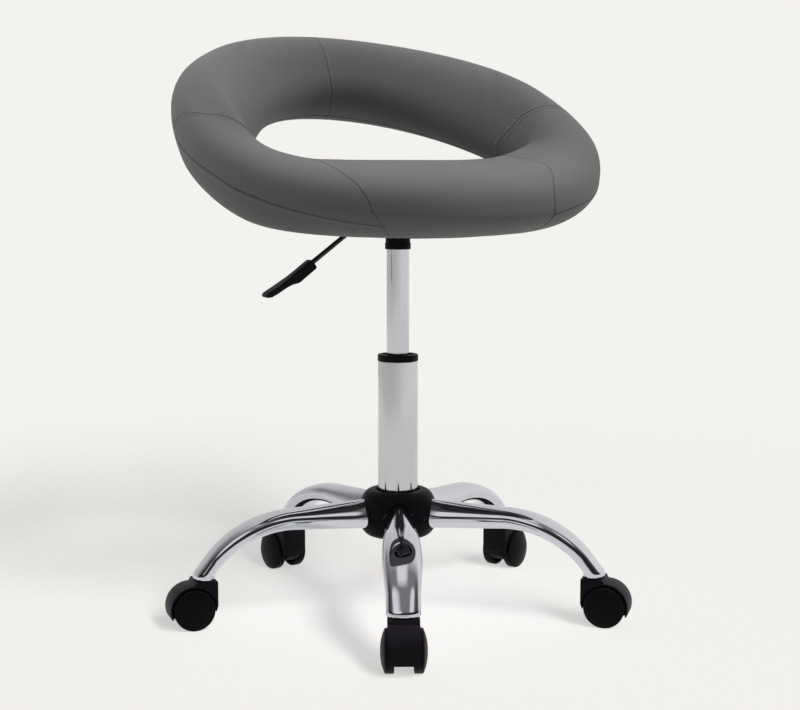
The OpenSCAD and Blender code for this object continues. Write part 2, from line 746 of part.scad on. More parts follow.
// Rings of a leg, w inside its skin: saddle at the hub, straight, bend, slope and upright lip
function leg_ring(x, z, turn, s, b, w, saddle) =
    let (hw = leg_half_w(s, b) - w, hh = leg_half_h(s, b) - w, low = leg_low_share * (1 - s))
    [for (j = [0:leg_sides - 1])
        let (q = leg_section(360 * j / leg_sides, hw, hh, low, leg_power(s)))
        [saddle ? sqrt(pow(saddle_r, 2) - pow(q[0], 2)) : x + q[1] * sin(turn), q[0], z + q[1] * cos(turn)]];
function leg_lip_ring(z, shift, w) =
    [for (j = [0:leg_sides - 1])
        let (q = leg_section(360 * j / leg_sides, leg_end_w / 2 - w, leg_lip_half_l - w, 0, leg_bottom_power))
        [stem_circle + shift + q[1], q[0], z]];
function leg_skin(w) =
    concat([for (g = leg_straight_shares)
                let (x = hub_d / 2 + g * (leg_straight_end - hub_d / 2))
                each leg_ring(x, leg_z, 0, g, 0, w, g == 0)],
           [for (i = [1:leg_bend_steps])
                let (b = i / leg_bend_steps, a = leg_bend_a * b)
                each leg_ring(leg_straight_end + leg_bend_r * sin(a), leg_z - leg_bend_r * (1 - cos(a)),
                              a, 1, b, w, false)],
           leg_lip_ring(leg_end_z + leg_lip_h, -leg_lip_half_l * leg_lip_share, w),
           leg_lip_ring(leg_end_z, 0, w));
leg_rings = len(leg_straight_shares) + leg_bend_steps + 2;

module leg() {
    n = leg_rings * leg_sides;
    outer = strip(leg_rings, leg_sides, false);
    ends = [for (j = [0:leg_sides - 1])
        let (k = (j + 1) % leg_sides, m = n - leg_sides)
        each [[j, k, n + k], [j, n + k, n + j], [m + j, m + n + k, m + k], [m + j, m + n + j, m + n + k]]];
    polyhedron(concat(leg_skin(0), leg_skin(leg_wall)),
               concat(outer, [for (f = outer) [f[0] + n, f[2] + n, f[1] + n]], ends));
}

module leg_tunnel() {
    s = leg_share(cover_d / 2);
    s_in = leg_share(cover_d / 2 - 2 * cover_wall);
    translate([hub_d / 2 + cut, 0, leg_z]) rotate([90, 0, 90]) linear_extrude(cover_d / 2)
        polygon([for (j = [0:leg_sides - 1])
            leg_section(360 * j / leg_sides, leg_half_w(s, 0) + opening_gap,
                        leg_half_h(s_in, 0) + opening_gap, leg_low_share * (1 - s_in), leg_power(s))]);
}

module one_leg() {
    color("#d2d4d8") leg();
}

// Casters

module stem_place() {
    translate([stem_circle, 0, 0]) children();
}

module caster_socket() {
    color("#9fa1a5") stem_place()
        difference() {
            union() {
                translate([0, 0, leg_end_z]) linear_extrude(insert_t)
                    polygon([for (j = [0:leg_sides - 1])
                        let (q = leg_section(360 * j / leg_sides, leg_end_w / 2 - leg_wall - soft_gap,
                                             leg_lip_half_l - leg_wall - 2 * soft_gap, 0, leg_bottom_power))
                        [q[1] - soft_gap, q[0]]]);
                translate([0, 0, leg_end_z])
                    cylinder(d = stem_d + 2 * sleeve_wall, h = sleeve_l);
            }
            translate([0, 0, leg_end_z - cut]) cylinder(d = stem_d + 2 * run_gap, h = stem_l + 2 * cut);
        }
}

module caster_stem() {
    neck_r = stem_d / 2 - 2 * run_gap;
    ring_z = leg_end_z + grip_ring_w;
    top_z = leg_end_z + stem_l;
    color("#a9abaf") stem_place()
        rotate_extrude()
            polygon([[0, caster_top_z - spigot_l], [spigot_d / 2, caster_top_z - spigot_l],
                     [spigot_d / 2, caster_top_z], [flange_d / 2, caster_top_z], [flange_d / 2, leg_end_z],
                     [neck_r, leg_end_z], [neck_r, ring_z], [stem_d / 2, ring_z],
                     [stem_d / 2, ring_z + grip_ring_w], [neck_r, ring_z + grip_ring_w],
                     [neck_r, top_z - stem_chamfer], [neck_r - stem_chamfer, top_z], [0, top_z]]);
}

// Side profile of the housing: x is outward from the stem, y is up
module hood_profile() {
    top_z = caster_top_z - platform_round;
    heel_x = trail + hood_r;
    intersection() {
        union() {
            translate([trail, axle_z]) circle(r = hood_r);
            polygon(concat([[stem_wall_x, 0]], [[platform_x, 0]],
                           arc(platform_x - platform_round, top_z, platform_round, 0, 90, 4),
                           arc(stem_wall_x + platform_round, top_z, platform_round, 90, 180, 4)));
        }
        polygon([[stem_wall_x - cut, stem_wall_foot_z], [stem_wall_x, stem_wall_foot_z],
                 [stem_wall_x + slant_in, stem_wall_foot_z - slant_drop],
                 [heel_x - hood_heel_in, hood_heel_z - hood_heel_drop],
                 [heel_x - cut, hood_heel_z], [heel_x + cut, hood_heel_z],
                 [heel_x + cut, caster_top_z + cut], [stem_wall_x - cut, caster_top_z + cut]]);
    }
}

module caster_housing() {
    lane_w = (hood_w - web_w) / 2;
    color("#1a191d") stem_place()
        difference() {
            rotate([90, 0, 0]) linear_extrude(hood_w, center = true) hood_profile();
            for (side = [-1, 1])
                translate([trail, side * (web_w + lane_w + cut) / 2, axle_z]) rotate([90, 0, 0])
                    cylinder(r = lane_r, h = lane_w + cut, center = true);
            translate([stem_wall_x - cut, -hood_w / 2 - cut, -cut])
                cube([trail + hood_r - stem_wall_x + 2 * cut, hood_w + 2 * cut, web_foot_z + cut]);
            translate([0, 0, caster_top_z - spigot_l - cut])
                cylinder(d = spigot_d + 2 * run_gap, h = spigot_l + 2 * cut);
            translate([trail, 0, axle_z]) rotate([90, 0, 0])
                cylinder(d = axle_d, h = 2 * hood_w, center = true);
        }
}

module caster_axle() {
    color("#9b9da1") stem_place() translate([trail, 0, axle_z]) rotate([90, 0, 0])
        cylinder(d = axle_d, h = axle_l, center = true);
}

module wheel(side) {
    bore = axle_d / 2 + run_gap;
    depth = (axle_l - wheel_gap) / 2 + wheel_play;
    edge = wheel_round / 2;
    face = wheel_w - wheel_dome;
    color("#131217") stem_place() translate([trail, side * wheel_gap / 2, axle_z]) rotate([-90 * side, 0, 0])
        rotate_extrude()
            polygon(concat([[bore, 0], [wheel_boss_d / 2, 0], [wheel_boss_d / 2, wheel_w - wheel_disc_t],
                            [wheel_r - wheel_rim_t, wheel_w - wheel_disc_t], [wheel_r - wheel_rim_t, 0]],
                           arc(wheel_r - edge, edge, edge, -90, 0, 4),
                           arc(wheel_r - wheel_round, face - wheel_round, wheel_round, 0, 90, 4),
                           [[wheel_r * wheel_face_share, wheel_w - wheel_dome * wheel_dome_share],
                            [0, wheel_w], [0, depth], [bore, depth]]));
}

seat_cushion();
seat_board();
back_hoop();
tee_nuts();
mount_plate();
taper_socket();
plate_bolts();
lever_bush();
lever_rod();
lever_handle();
release_button();
pressure_tube();
tube_gland();
piston_rod();
piston_head();
thrust_bearing();
rod_clip();
column_tube();
column_cap();
guide_bush();
column_foot();
hub_socket();
hub_cover_upper();
hub_cover_lower();
for (k = [1:5]) {
    leg_turn(k) one_leg();
    leg_turn(k) caster_socket();
    leg_turn(k) caster_stem();
    leg_turn(k) caster_housing();
    leg_turn(k) caster_axle();
    leg_turn(k) wheel(1);
    leg_turn(k) wheel(-1);
}
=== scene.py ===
"""Rolling work chair with a ring seat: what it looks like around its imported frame."""
import json
import math

import bmesh
import bpy
import numpy as np
from bpy.props import FloatProperty, FloatVectorProperty, IntProperty, PointerProperty
from mathutils import Matrix, Vector


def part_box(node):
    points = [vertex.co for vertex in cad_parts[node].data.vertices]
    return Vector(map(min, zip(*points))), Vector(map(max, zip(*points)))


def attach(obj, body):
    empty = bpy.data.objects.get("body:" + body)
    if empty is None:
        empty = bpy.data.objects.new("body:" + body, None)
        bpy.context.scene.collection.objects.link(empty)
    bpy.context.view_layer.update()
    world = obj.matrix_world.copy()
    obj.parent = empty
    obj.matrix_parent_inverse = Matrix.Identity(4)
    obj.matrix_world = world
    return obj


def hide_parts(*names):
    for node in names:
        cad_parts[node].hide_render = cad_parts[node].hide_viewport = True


bl_info = {
    "name": "Rolling work chair",
    "version": (1, 0, 0),
    "blender": (4, 5, 0),
    "location": "3D View > Sidebar > Chair",
    "description": "Upholsters and finishes a rolling work chair around its fixed frame",
    "category": "Object",
}

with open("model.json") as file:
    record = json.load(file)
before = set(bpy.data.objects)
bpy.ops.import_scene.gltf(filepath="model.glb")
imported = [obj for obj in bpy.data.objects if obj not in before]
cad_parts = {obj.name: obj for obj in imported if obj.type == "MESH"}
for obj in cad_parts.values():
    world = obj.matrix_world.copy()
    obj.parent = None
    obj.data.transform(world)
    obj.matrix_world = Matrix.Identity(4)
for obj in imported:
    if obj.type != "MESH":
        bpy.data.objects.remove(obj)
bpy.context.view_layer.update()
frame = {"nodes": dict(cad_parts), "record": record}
MM = 0.001


def linear(code):
    """Scene colour of an sRGB hex value."""
    channels = [int(code[i:i + 2], 16) / 255 for i in (1, 3, 5)]
    return tuple(c / 12.92 if c <= 0.04045 else ((c + 0.055) / 1.055) ** 2.4 for c in channels)


def length(name, text, value):
    return FloatProperty(name=name, description=text, default=value, min=0.0, unit="LENGTH", precision=4)


def turn(name, text, degrees):
    return FloatProperty(name=name, description=text, default=math.radians(degrees), subtype="ANGLE")


def colour(name, text, code):
    return FloatVectorProperty(name=name, description=text, default=linear(code), min=0.0, max=1.0, size=3,
                               subtype="COLOR")


class RingSizes(bpy.types.PropertyGroup):
    """The ring seat: its centre line and its section at the front pad and at the backrest."""
    half_w: length("Half width", "Half the width of the ring's centre line", 0.227)
    front: length("Front", "How far the centre line reaches ahead of the column", 0.117)
    rear: length("Rear", "How far the centre line reaches behind the column", 0.261)
    front_z: length("Front height", "Height of the centre line at the front", 0.508)
    rear_z: length("Rear height", "Height of the centre line at the rear", 0.669)
    pad_half_d: length("Pad half depth", "Half the depth of the front roll", 0.081)
    pad_rise: length("Pad rise", "Height of the pad over the centre line", 0.046)
    pad_fall: length("Pad fall", "Depth of the pad under the centre line", 0.036)
    pad_reach: length("Pad reach", "How far the pad runs back over the column", 0.095)
    pad_crown: length("Pad crown", "Extra crown of the pad behind its front roll", 0.007)
    back_half_w: length("Back half width", "Half the width of the backrest's section", 0.055)
    back_rise: length("Back rise", "Height of the backrest over the centre line", 0.062)
    back_fall: length("Back fall", "Depth of the backrest under the centre line", 0.050)
    back_lean: turn("Back lean", "Outward lean of the backrest", 23)
    pad_lean: turn("Pad lean", "Outward lean of the front roll", 6.5)
    seam_depth: length("Seam depth", "Depth of the ditch along a seam", 0.0016)
    twin_gap: length("Stitch row gap", "Distance of a stitch row from its seam", 0.0052)
    twin_pitch: length("Top stitch pitch", "Distance from one top stitch to the next", 0.0064)
    stitch_pitch: length("Stitch pitch", "Distance from one stitch to the next", 0.0045)
    puff: length("Puff", "How far the cover may swell between its seams", 0.0025)
    columns: IntProperty(name="Columns", description="Faces round the ring", default=230, min=60)
    rows: IntProperty(name="Rows", description="Faces round the section", default=78, min=24)


class ChairFinishes(bpy.types.PropertyGroup):
    """The chair's colours."""
    cover: colour("Cover", "Grey polyurethane leather", "#6D706F")
    thread: colour("Thread", "Sewing thread", "#8C8F8C")
    chrome: colour("Chrome", "Chromium plate", "#CBCED6")
    tube: colour("Tube", "Ground and chromed lift tube", "#C6C8CC")
    plastic: colour("Plastic", "Black moulded nylon and polypropylene", "#151316")
    hood: colour("Hood", "Charcoal nylon of the caster hoods and the grip", "#1D191F")
    powder: colour("Powder coat", "Black powder coat on steel", "#151417")
    plywood: colour("Plywood", "Birch plywood", "#B08D62")
    zinc: colour("Zinc", "Zinc plated steel", "#B9BBC0")
    ground: colour("Ground", "Pale studio floor and backdrop", "#F4F2EF")


class LiftSizes(bpy.types.PropertyGroup):
    """The gas lift, its column, the hub cover and the lever."""
    lift_r: length("Tube radius", "Radius of the pressure tube", 0.014)
    column_r: length("Column radius", "Radius of the column tube", 0.025)
    column_top: length("Column top", "Height of the column's top, over its cap", 0.3235)
    cap_h: length("Cap height", "Height of the column's cap", 0.008)
    flute_h: length("Flute height", "Height of the flutes over the hub cover", 0.011)
    flutes: IntProperty(name="Flutes", description="Number of flutes round the column", default=9, min=3)
    cover_r: length("Cover radius", "Radius of the hub cover", 0.0495)
    cover_top: length("Cover top", "Height of the hub cover's top", 0.1535)
    cover_seam: length("Cover seam", "Height of the seam between the cover's halves", 0.1205)
    cover_foot: length("Cover foot", "Height of the hub cover's lower edge", 0.0945)
    cover_wall: length("Cover wall", "Wall of the hub cover", 0.0022)
    mouth_r: length("Cover mouth", "Radius of the cover's mouth round the column", 0.0272)
    collar_r: length("Collar radius", "Radius of the socket under the seat", 0.016)
    collar_z: length("Collar height", "Height of the socket's lower edge", 0.454)
    lever_z: length("Lever height", "Height of the lever's pivot", 0.484)
    lever_r: length("Lever radius", "Radius of the lever's rod", 0.003)
    bend_x: length("Lever bend place", "Distance of the rod's bend from the column's axis", 0.0555)
    bend_r: length("Lever bend radius", "Bend radius of the rod", 0.014)
    bend_a: turn("Lever bend", "Bend of the rod", 36)
    drop_l: length("Lever drop", "Length of the rod from its bend into the grip", 0.096)
    grip_l: length("Grip length", "Length of the grip", 0.077)
    grip_h: length("Grip height", "Height of the grip's thick end", 0.015)
    grip_w: length("Grip width", "Width of the grip's paddle", 0.020)


class BaseSizes(bpy.types.PropertyGroup):
    """The five-star base and its casters."""
    stem_circle: length("Stem circle", "Radius of the circle of caster stems", 0.250)
    base_turn: turn("Base turn", "Turn of the base under the seat", -25.5)
    leg_z: length("Leg height", "Height of the legs' centre line at the hub", 0.1245)
    bend_r: length("Leg bend", "Bend radius of a leg", 0.130)
    bend_a: turn("Leg bend angle", "Downward bend of a leg", 49)
    root_h: length("Leg root height", "Height of a leg at the hub", 0.038)
    end_h: length("Leg end height", "Thickness of a leg at its end", 0.020)
    run_w: length("Leg run width", "Width of a leg along its straight run", 0.0405)
    leg_w: length("Leg width", "Width of a leg at its widest, halfway round its bend", 0.0465)
    end_w: length("Leg end width", "Width of a leg at its end", 0.0394)
    wall: length("Leg wall", "Wall of a leg", 0.0016)
    trail: length("Trail", "Distance from a stem's axis to its axle", 0.015)
    wheel_r: length("Wheel radius", "Radius of a caster wheel", 0.025)
    wheel_w: length("Wheel width", "Width of one wheel", 0.0154)
    wheel_gap: length("Wheel gap", "Gap between the two wheels", 0.022)
    hood_w: length("Hood width", "Width of a caster's hood", 0.036)
    caster_top: length("Caster top", "Height of a caster's flat top", 0.0587)


# What the ring's values are at a third and two thirds of the way round, as shares of the ends' values
Y_SHARES = (0.185, 0.527)
Z_SHARES = (0.135, 0.655)
W_SHARES = (0.735, 0.843)
RISE_SHARES = (1.02, 1.025)
FALL_SHARES = (1.26, 1.205)
LEAN_SHARES = (0.97, 1.11)
INNER_SIDE_SHARES = (1.11, 1.02, 0.76, 0.91)
EGG_SHARE = -0.06
SQUARE_SHARE = 0.01
TOP_POWER = 2.63
OUTER_LOW_POWER = 1.57
INNER_LOW_POWER = 2.59
REACH_END = math.radians(80)

# Seams across the ring: grid column, side, then mean place round the ring in degrees and how the seam
# wanders with the cosine and sine of the section's angle and of its double
SEAMS = {
    "right front": (37.0, 1, (36.2, -11.1, 6.3, -0.2, -4.0)),
    "right side": (103.0, 1, (102.4, -7.1, -5.1, 0.0, 4.7)),
    "rear": (178.0, 1, (178.1, -0.8, 1.9, 0.0, 0.2)),
    "left side": (270.0, -1, (93.4, 8.8, -7.8, -1.2, 4.9)),
    "left front": (330.0, -1, (26.6, -1.9, 11.8, 0.0, -3.3)),
}
TWIN_SEAMS = ("right side", "rear", "left side")
# Place of the outer seam in the section at the front, both thirds and the rear, how much higher it
# climbs on the right, where and over how wide a stretch, and the place of the inner seam
OUTER_SEAM = (-44.7, -5.7, 39.8, 48.2)
OUTER_SEAM_CLIMB = (14.0, 42.0, 13.0)
INNER_SEAM = 264.0


# The outer seam's lowest place in the section, and how many degrees of the section it draws along with it
OUTER_SEAM_LOWEST = -40
OUTER_SEAM_PULL = 110
# How many degrees of the ring a seam across it draws along with it
FRONT_SEAM_PULL = 29.0
SEAM_PULL = 36.0
# Turn in radians over which the centre line's direction is taken
SHORT_TURN = 0.0087


def smoothed(share):
    """A share held between 0 and 1, that leaves the one and reaches the other smoothly."""
    share = np.clip(share, 0, 1)
    return share * share * (3 - 2 * share)


def along(stations, t):
    """Value round the ring from its four stations, alike on both sides."""
    s = stations
    a0 = (s[0] + 2 * s[1] + 2 * s[2] + s[3]) / 6
    a1 = (s[0] + s[1] - s[2] - s[3]) / 3
    a2 = (s[0] - s[1] - s[2] + s[3]) / 3
    a3 = (s[0] - 2 * s[1] + 2 * s[2] - s[3]) / 6
    return a0 + a1 * np.cos(t) + a2 * np.cos(2 * t) + a3 * np.cos(3 * t)


def stations(front, shares, rear):
    """A value's four stations, where the shares are of the front value and of the rear one."""
    return front, front * shares[0], rear * shares[1], rear


def centre_line(ring, t):
    ys = [-ring.front] + [-ring.front + s * (ring.front + ring.rear) for s in Y_SHARES] + [ring.rear]
    zs = [ring.front_z] + [ring.front_z + s * (ring.rear_z - ring.front_z) for s in Z_SHARES] + [ring.rear_z]
    x = np.sin(t) * (1 + EGG_SHARE * np.cos(t)) + SQUARE_SHARE * (np.sin(3 * t) + np.sin(t))
    return np.stack([ring.half_w * x, along(ys, t), along(zs, t)], -1)


def skin(ring, t, a):
    """Points of the ring's skin: t runs round the ring from its front, a round the section from outside."""
    c, s = np.cos(a), np.sin(a)
    step = centre_line(ring, t + SHORT_TURN) - centre_line(ring, t - SHORT_TURN)
    out = np.stack([step[..., 1], -step[..., 0], np.zeros_like(t)], -1)
    out /= np.linalg.norm(out, axis=-1, keepdims=True)
    reach = smoothed((np.cos(t) - math.cos(REACH_END)) / (1 - math.cos(REACH_END)))
    power = np.where(s >= 0, TOP_POWER, np.where(c >= 0, OUTER_LOW_POWER, INNER_LOW_POWER))
    half_w = along(stations(ring.pad_half_d, W_SHARES, ring.back_half_w), t)
    half_w = half_w * np.where(c < 0, along(INNER_SIDE_SHARES, t), 1)
    half_h = np.where(s >= 0, along(stations(ring.pad_rise, RISE_SHARES, ring.back_rise), t),
                      along(stations(ring.pad_fall, FALL_SHARES, ring.back_fall), t))
    lean = along(stations(ring.pad_lean, LEAN_SHARES, ring.back_lean), t)
    r = half_w * np.sign(c) * np.abs(c) ** (2 / power)
    h = half_h * np.sign(s) * np.abs(s) ** (2 / power)
    inner = np.clip(-c, 0, None)
    point = centre_line(ring, t) + out * (r * np.cos(lean) + h * np.sin(lean))[..., None]
    point[..., 1] += ring.pad_reach * reach * inner ** (2 / power)
    point[..., 2] += -r * np.sin(lean) + h * np.cos(lean)
    point[..., 2] += 2 * ring.pad_crown * reach * inner * np.clip(s, 0, None)
    return point


# Selecting, starting, shaping and finishing a piece


def clear_selection():
    if bpy.context.mode != "OBJECT":
        bpy.ops.object.mode_set(mode="OBJECT")
    bpy.ops.object.select_all(action="DESELECT")


def activate(piece):
    clear_selection()
    piece.select_set(True)
    bpy.context.view_layer.objects.active = piece
    return piece


def edit(piece):
    activate(piece)
    bpy.ops.object.mode_set(mode="EDIT")
    bpy.ops.mesh.select_all(action="DESELECT")
    return bmesh.from_edit_mesh(piece.data)


def select(piece, wanted, kind):
    """Selects a piece's faces, edges or vertices by a test of each, and shows the choice to the operators."""
    mesh = bmesh.from_edit_mesh(piece.data)
    bpy.ops.mesh.select_all(action="DESELECT")
    for item in getattr(mesh, kind):
        if wanted(item):
            item.select_set(True)
    mesh.select_flush_mode()
    bmesh.update_edit_mesh(piece.data)


def tidy_normals(piece):
    """Merges doubles and turns every face outwards."""
    edit(piece)
    bpy.ops.mesh.select_all(action="SELECT")
    bpy.ops.mesh.remove_doubles(threshold=0.000002)
    bpy.ops.mesh.normals_make_consistent(inside=False)
    bpy.ops.object.mode_set(mode="OBJECT")
    return piece


def start_loop(name, points, closed=True):
    """A loop of edges through the points, the start of a turned or drawn-out piece."""
    clear_selection()
    bpy.ops.mesh.primitive_circle_add(vertices=len(points), radius=1, fill_type="NOTHING")
    piece = bpy.context.object
    piece.name = piece.data.name = name
    place = piece.data.attributes.new("place", "INT", "POINT")
    place.data.foreach_set("value", range(len(points)))
    for vertex, point in zip(piece.data.vertices, points):
        vertex.co = point
    if not closed:
        edit(piece)
        last = len(points) - 1
        select(piece, lambda e: {v.index for v in e.verts} == {0, last}, "edges")
        bpy.ops.mesh.delete(type="EDGE_FACE")
        bpy.ops.object.mode_set(mode="OBJECT")
    return piece


def turned(name, profile, centre=(0, 0, 0), axis=(0, 0, 1), steps=96, closed=True):
    """A piece turned about an axis from its profile of radius and height."""
    axis = Vector(axis).normalized()
    side = axis.orthogonal().normalized()
    points = [Vector(centre) + side * r + axis * h for r, h in profile]
    piece = start_loop(name, points, closed)
    edit(piece)
    bpy.ops.mesh.select_all(action="SELECT")
    bpy.ops.mesh.spin(steps=steps, angle=2 * math.pi, center=centre, axis=axis, use_auto_merge=True)
    bpy.ops.object.mode_set(mode="OBJECT")
    return tidy_normals(piece)


def drawn_out(name, rings, first_cap=True):
    """A piece extruded ring by ring through the given rings of points, and closed at its ends."""
    piece = start_loop(name, rings[0])
    edit(piece)
    bpy.ops.mesh.select_all(action="SELECT")
    for ring in rings[1:]:
        bpy.ops.mesh.extrude_edges_move()
        mesh = bmesh.from_edit_mesh(piece.data)
        place = mesh.verts.layers.int["place"]
        for vertex in mesh.verts:
            if vertex.select:
                vertex.co = ring[vertex[place]]
        bmesh.update_edit_mesh(piece.data)
    bpy.ops.mesh.edge_face_add()
    if first_cap:
        mesh = bmesh.from_edit_mesh(piece.data)
        mesh.verts.ensure_lookup_table()
        first = {mesh.verts[i] for i in range(len(rings[0]))}
        select(piece, lambda v: v in first, "verts")
        bpy.ops.mesh.edge_face_add()
    bpy.ops.object.mode_set(mode="OBJECT")
    return tidy_normals(piece)


def apply_modifier(piece, kind, **settings):
    activate(piece)
    modifier = piece.modifiers.new(kind.title(), kind)
    for key, value in settings.items():
        setattr(modifier, key, value)
    bpy.ops.object.modifier_apply(modifier=modifier.name)
    return piece


def rounded(piece, width, segments=3, degrees=30):
    return apply_modifier(piece, "BEVEL", width=width, segments=segments, limit_method="ANGLE",
                          angle_limit=math.radians(degrees), harden_normals=False)


def cut_with(piece, cutter, operation="DIFFERENCE"):
    apply_modifier(piece, "BOOLEAN", object=cutter, operation=operation, solver="EXACT")
    bpy.data.objects.remove(cutter)
    return piece


def joined(name, pieces):
    """Several loose solids as one piece."""
    clear_selection()
    for piece in pieces:
        piece.select_set(True)
    bpy.context.view_layer.objects.active = pieces[0]
    if len(pieces) > 1:
        bpy.ops.object.join()
    pieces[0].name = pieces[0].data.name = name
    return pieces[0]


def copied(piece, name, matrix):
    """A copy with its own mesh, moved in its mesh."""
    other = bpy.data.objects.new(name, piece.data.copy())
    other.data.name = name
    other.data.transform(matrix)
    bpy.context.scene.collection.objects.link(other)
    return other


def finish_piece(piece, body, finish, nodes=(), smooth=35):
    """Gives a piece its material and smoothing, and its place in the frame."""
    activate(piece)
    if "place" in piece.data.attributes:
        piece.data.attributes.remove(piece.data.attributes["place"])
    piece.data.materials.clear()
    piece.data.materials.append(MATERIALS[finish])
    bpy.ops.object.shade_smooth_by_angle(angle=math.radians(smooth))
    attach(piece, body)
    if nodes:
        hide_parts(*nodes)
    return piece


# Materials


def set_inputs(tree, node, inputs):
    """Links sockets, or the first outputs of nodes, into a node's inputs, or gives them plain values."""
    for socket, source in inputs.items():
        if isinstance(source, bpy.types.Node):
            source = source.outputs[0]
        if isinstance(source, bpy.types.NodeSocket):
            tree.links.new(source, node.inputs[socket])
        else:
            node.inputs[socket].default_value = source


def add_node(tree, kind, inputs=None, **settings):
    """Adds a node with its settings and with what goes into its inputs."""
    node = tree.nodes.new("ShaderNode" + kind)
    for key, value in settings.items():
        setattr(node, key, value)
    set_inputs(tree, node, inputs or {})
    return node


def new_material(name):
    """A material with its shader, and the object coordinates its patterns use."""
    material = bpy.data.materials.new(name)
    material.use_nodes = True
    tree = material.node_tree
    place = add_node(tree, "TexCoord").outputs["Object"]
    return material, tree, tree.nodes["Principled BSDF"], place


def rgba(value, amount=1.0):
    """A colour with its alpha, made lighter or darker by an amount."""
    return (*(min(1.0, c * amount) for c in value[:3]), 1.0)


def cover_leather(finishes):
    """Grained polyurethane leather: a soft coat with fine pebbles, so a broad dull highlight."""
    material, tree, shader, place = new_material("Grained polyurethane leather")
    base = finishes.cover
    cloud = add_node(tree, "TexNoise", {"Vector": place, "Scale": 9.0, "Detail": 4.0})
    tone = add_node(tree, "MapRange", {"Value": cloud, "From Min": 0.3, "From Max": 0.7})
    mottled = add_node(tree, "Mix", {0: tone, 6: rgba(base, 0.96), 7: rgba(base, 1.04)}, data_type="RGBA")
    # Painted shade: the cover darkens towards 28 per cent of its colour along the bottoms of the seam ditches, where
    # shade falls
    ditch = add_node(tree, "Attribute", attribute_name="ditch")
    dark = add_node(tree, "Mix", {0: ditch.outputs["Fac"], 6: mottled.outputs[2], 7: rgba(base, 0.28)},
                    data_type="RGBA")
    # Pebbles are about 0.8 mm across on the real skin and are drawn at 1.1 mm
    pebbles = add_node(tree, "TexVoronoi", {"Vector": place, "Scale": 900.0}, feature="SMOOTH_F1")
    folds = add_node(tree, "TexNoise", {"Vector": place, "Scale": 160.0, "Detail": 5.0, "Roughness": 0.6})
    rough = add_node(tree, "MapRange", {"Value": folds, "To Min": 0.46, "To Max": 0.56})
    fine = add_node(tree, "Bump", {"Height": pebbles, "Strength": 0.10, "Distance": 0.0004})
    coarse = add_node(tree, "Bump", {"Height": folds, "Strength": 0.06, "Distance": 0.0012, "Normal": fine})
    set_inputs(tree, shader, {"Base Color": dark.outputs[2], "Roughness": rough, "IOR": 1.47,
                              "Specular IOR Level": 0.03, "Normal": coarse})
    return material


def sewing_thread(name, thread):
    """Bonded polyester thread: twisted plies with a dull lustre."""
    material, tree, shader, place = new_material(name)
    plies = add_node(tree, "TexNoise", {"Vector": place, "Scale": 2600.0, "Detail": 2.0})
    tone = add_node(tree, "Mix", {0: plies, 6: rgba(thread, 0.8), 7: rgba(thread, 1.15)}, data_type="RGBA")
    twist = add_node(tree, "Bump", {"Height": plies, "Strength": 0.3, "Distance": 0.0002})
    set_inputs(tree, shader, {"Base Color": tone.outputs[2], "Roughness": 0.6, "Normal": twist})
    return material


def chrome_plate(finishes):
    """Bright chromium on polished steel: mirror-like, with the slightest haze from polishing."""
    material, tree, shader, place = new_material("Bright chromium plate")
    haze = add_node(tree, "TexNoise", {"Vector": place, "Scale": 60.0, "Detail": 4.0})
    rough = add_node(tree, "MapRange", {"Value": haze, "From Min": 0.3, "From Max": 0.7, "To Min": 0.035,
                                        "To Max": 0.075})
    waves = add_node(tree, "TexNoise", {"Vector": place, "Scale": 28.0, "Detail": 2.0})
    wavy = add_node(tree, "Bump", {"Height": waves, "Strength": 0.02, "Distance": 0.002})
    set_inputs(tree, shader, {"Base Color": rgba(finishes.chrome), "Metallic": 1.0, "Roughness": rough,
                              "Normal": wavy})
    return material


def ground_tube(finishes):
    """Centreless-ground and chromed tube: fine marks round it spread the reflections up and down."""
    material, tree, shader, place = new_material("Ground chromed tube")
    # Grinding marks 0.4 mm apart up the tube
    stretched = add_node(tree, "Mapping", {"Vector": place, "Scale": (1.0, 1.0, 14.0)})
    marks = add_node(tree, "TexNoise", {"Vector": stretched, "Scale": 170.0, "Detail": 3.0})
    rough = add_node(tree, "MapRange", {"Value": marks, "From Min": 0.3, "From Max": 0.7, "To Min": 0.09,
                                        "To Max": 0.2})
    ridges = add_node(tree, "Bump", {"Height": marks, "Strength": 0.03, "Distance": 0.0004})
    set_inputs(tree, shader, {"Base Color": rgba(finishes.tube), "Metallic": 1.0, "Roughness": rough,
                              "Normal": ridges})
    return material


def moulded_plastic(name, base, rough, sheen):
    """Spark-eroded black mouldings: a fine even grain and a dull sheen."""
    material, tree, shader, place = new_material(name)
    cloud = add_node(tree, "TexNoise", {"Vector": place, "Scale": 40.0, "Detail": 3.0})
    tone = add_node(tree, "Mix", {0: cloud, 6: rgba(base, 0.85), 7: rgba(base, 1.15)}, data_type="RGBA")
    dull = add_node(tree, "MapRange", {"Value": cloud, "To Min": rough - 0.05, "To Max": rough + 0.05})
    # Grain about 0.7 mm, drawn a little coarser than it is
    speckle = add_node(tree, "TexNoise", {"Vector": place, "Scale": 1400.0, "Detail": 2.0})
    grain = add_node(tree, "Bump", {"Height": speckle, "Strength": 0.05, "Distance": 0.0003})
    set_inputs(tree, shader, {"Base Color": tone.outputs[2], "Roughness": dull, "IOR": 1.49,
                              "Specular IOR Level": sheen, "Normal": grain})
    return material


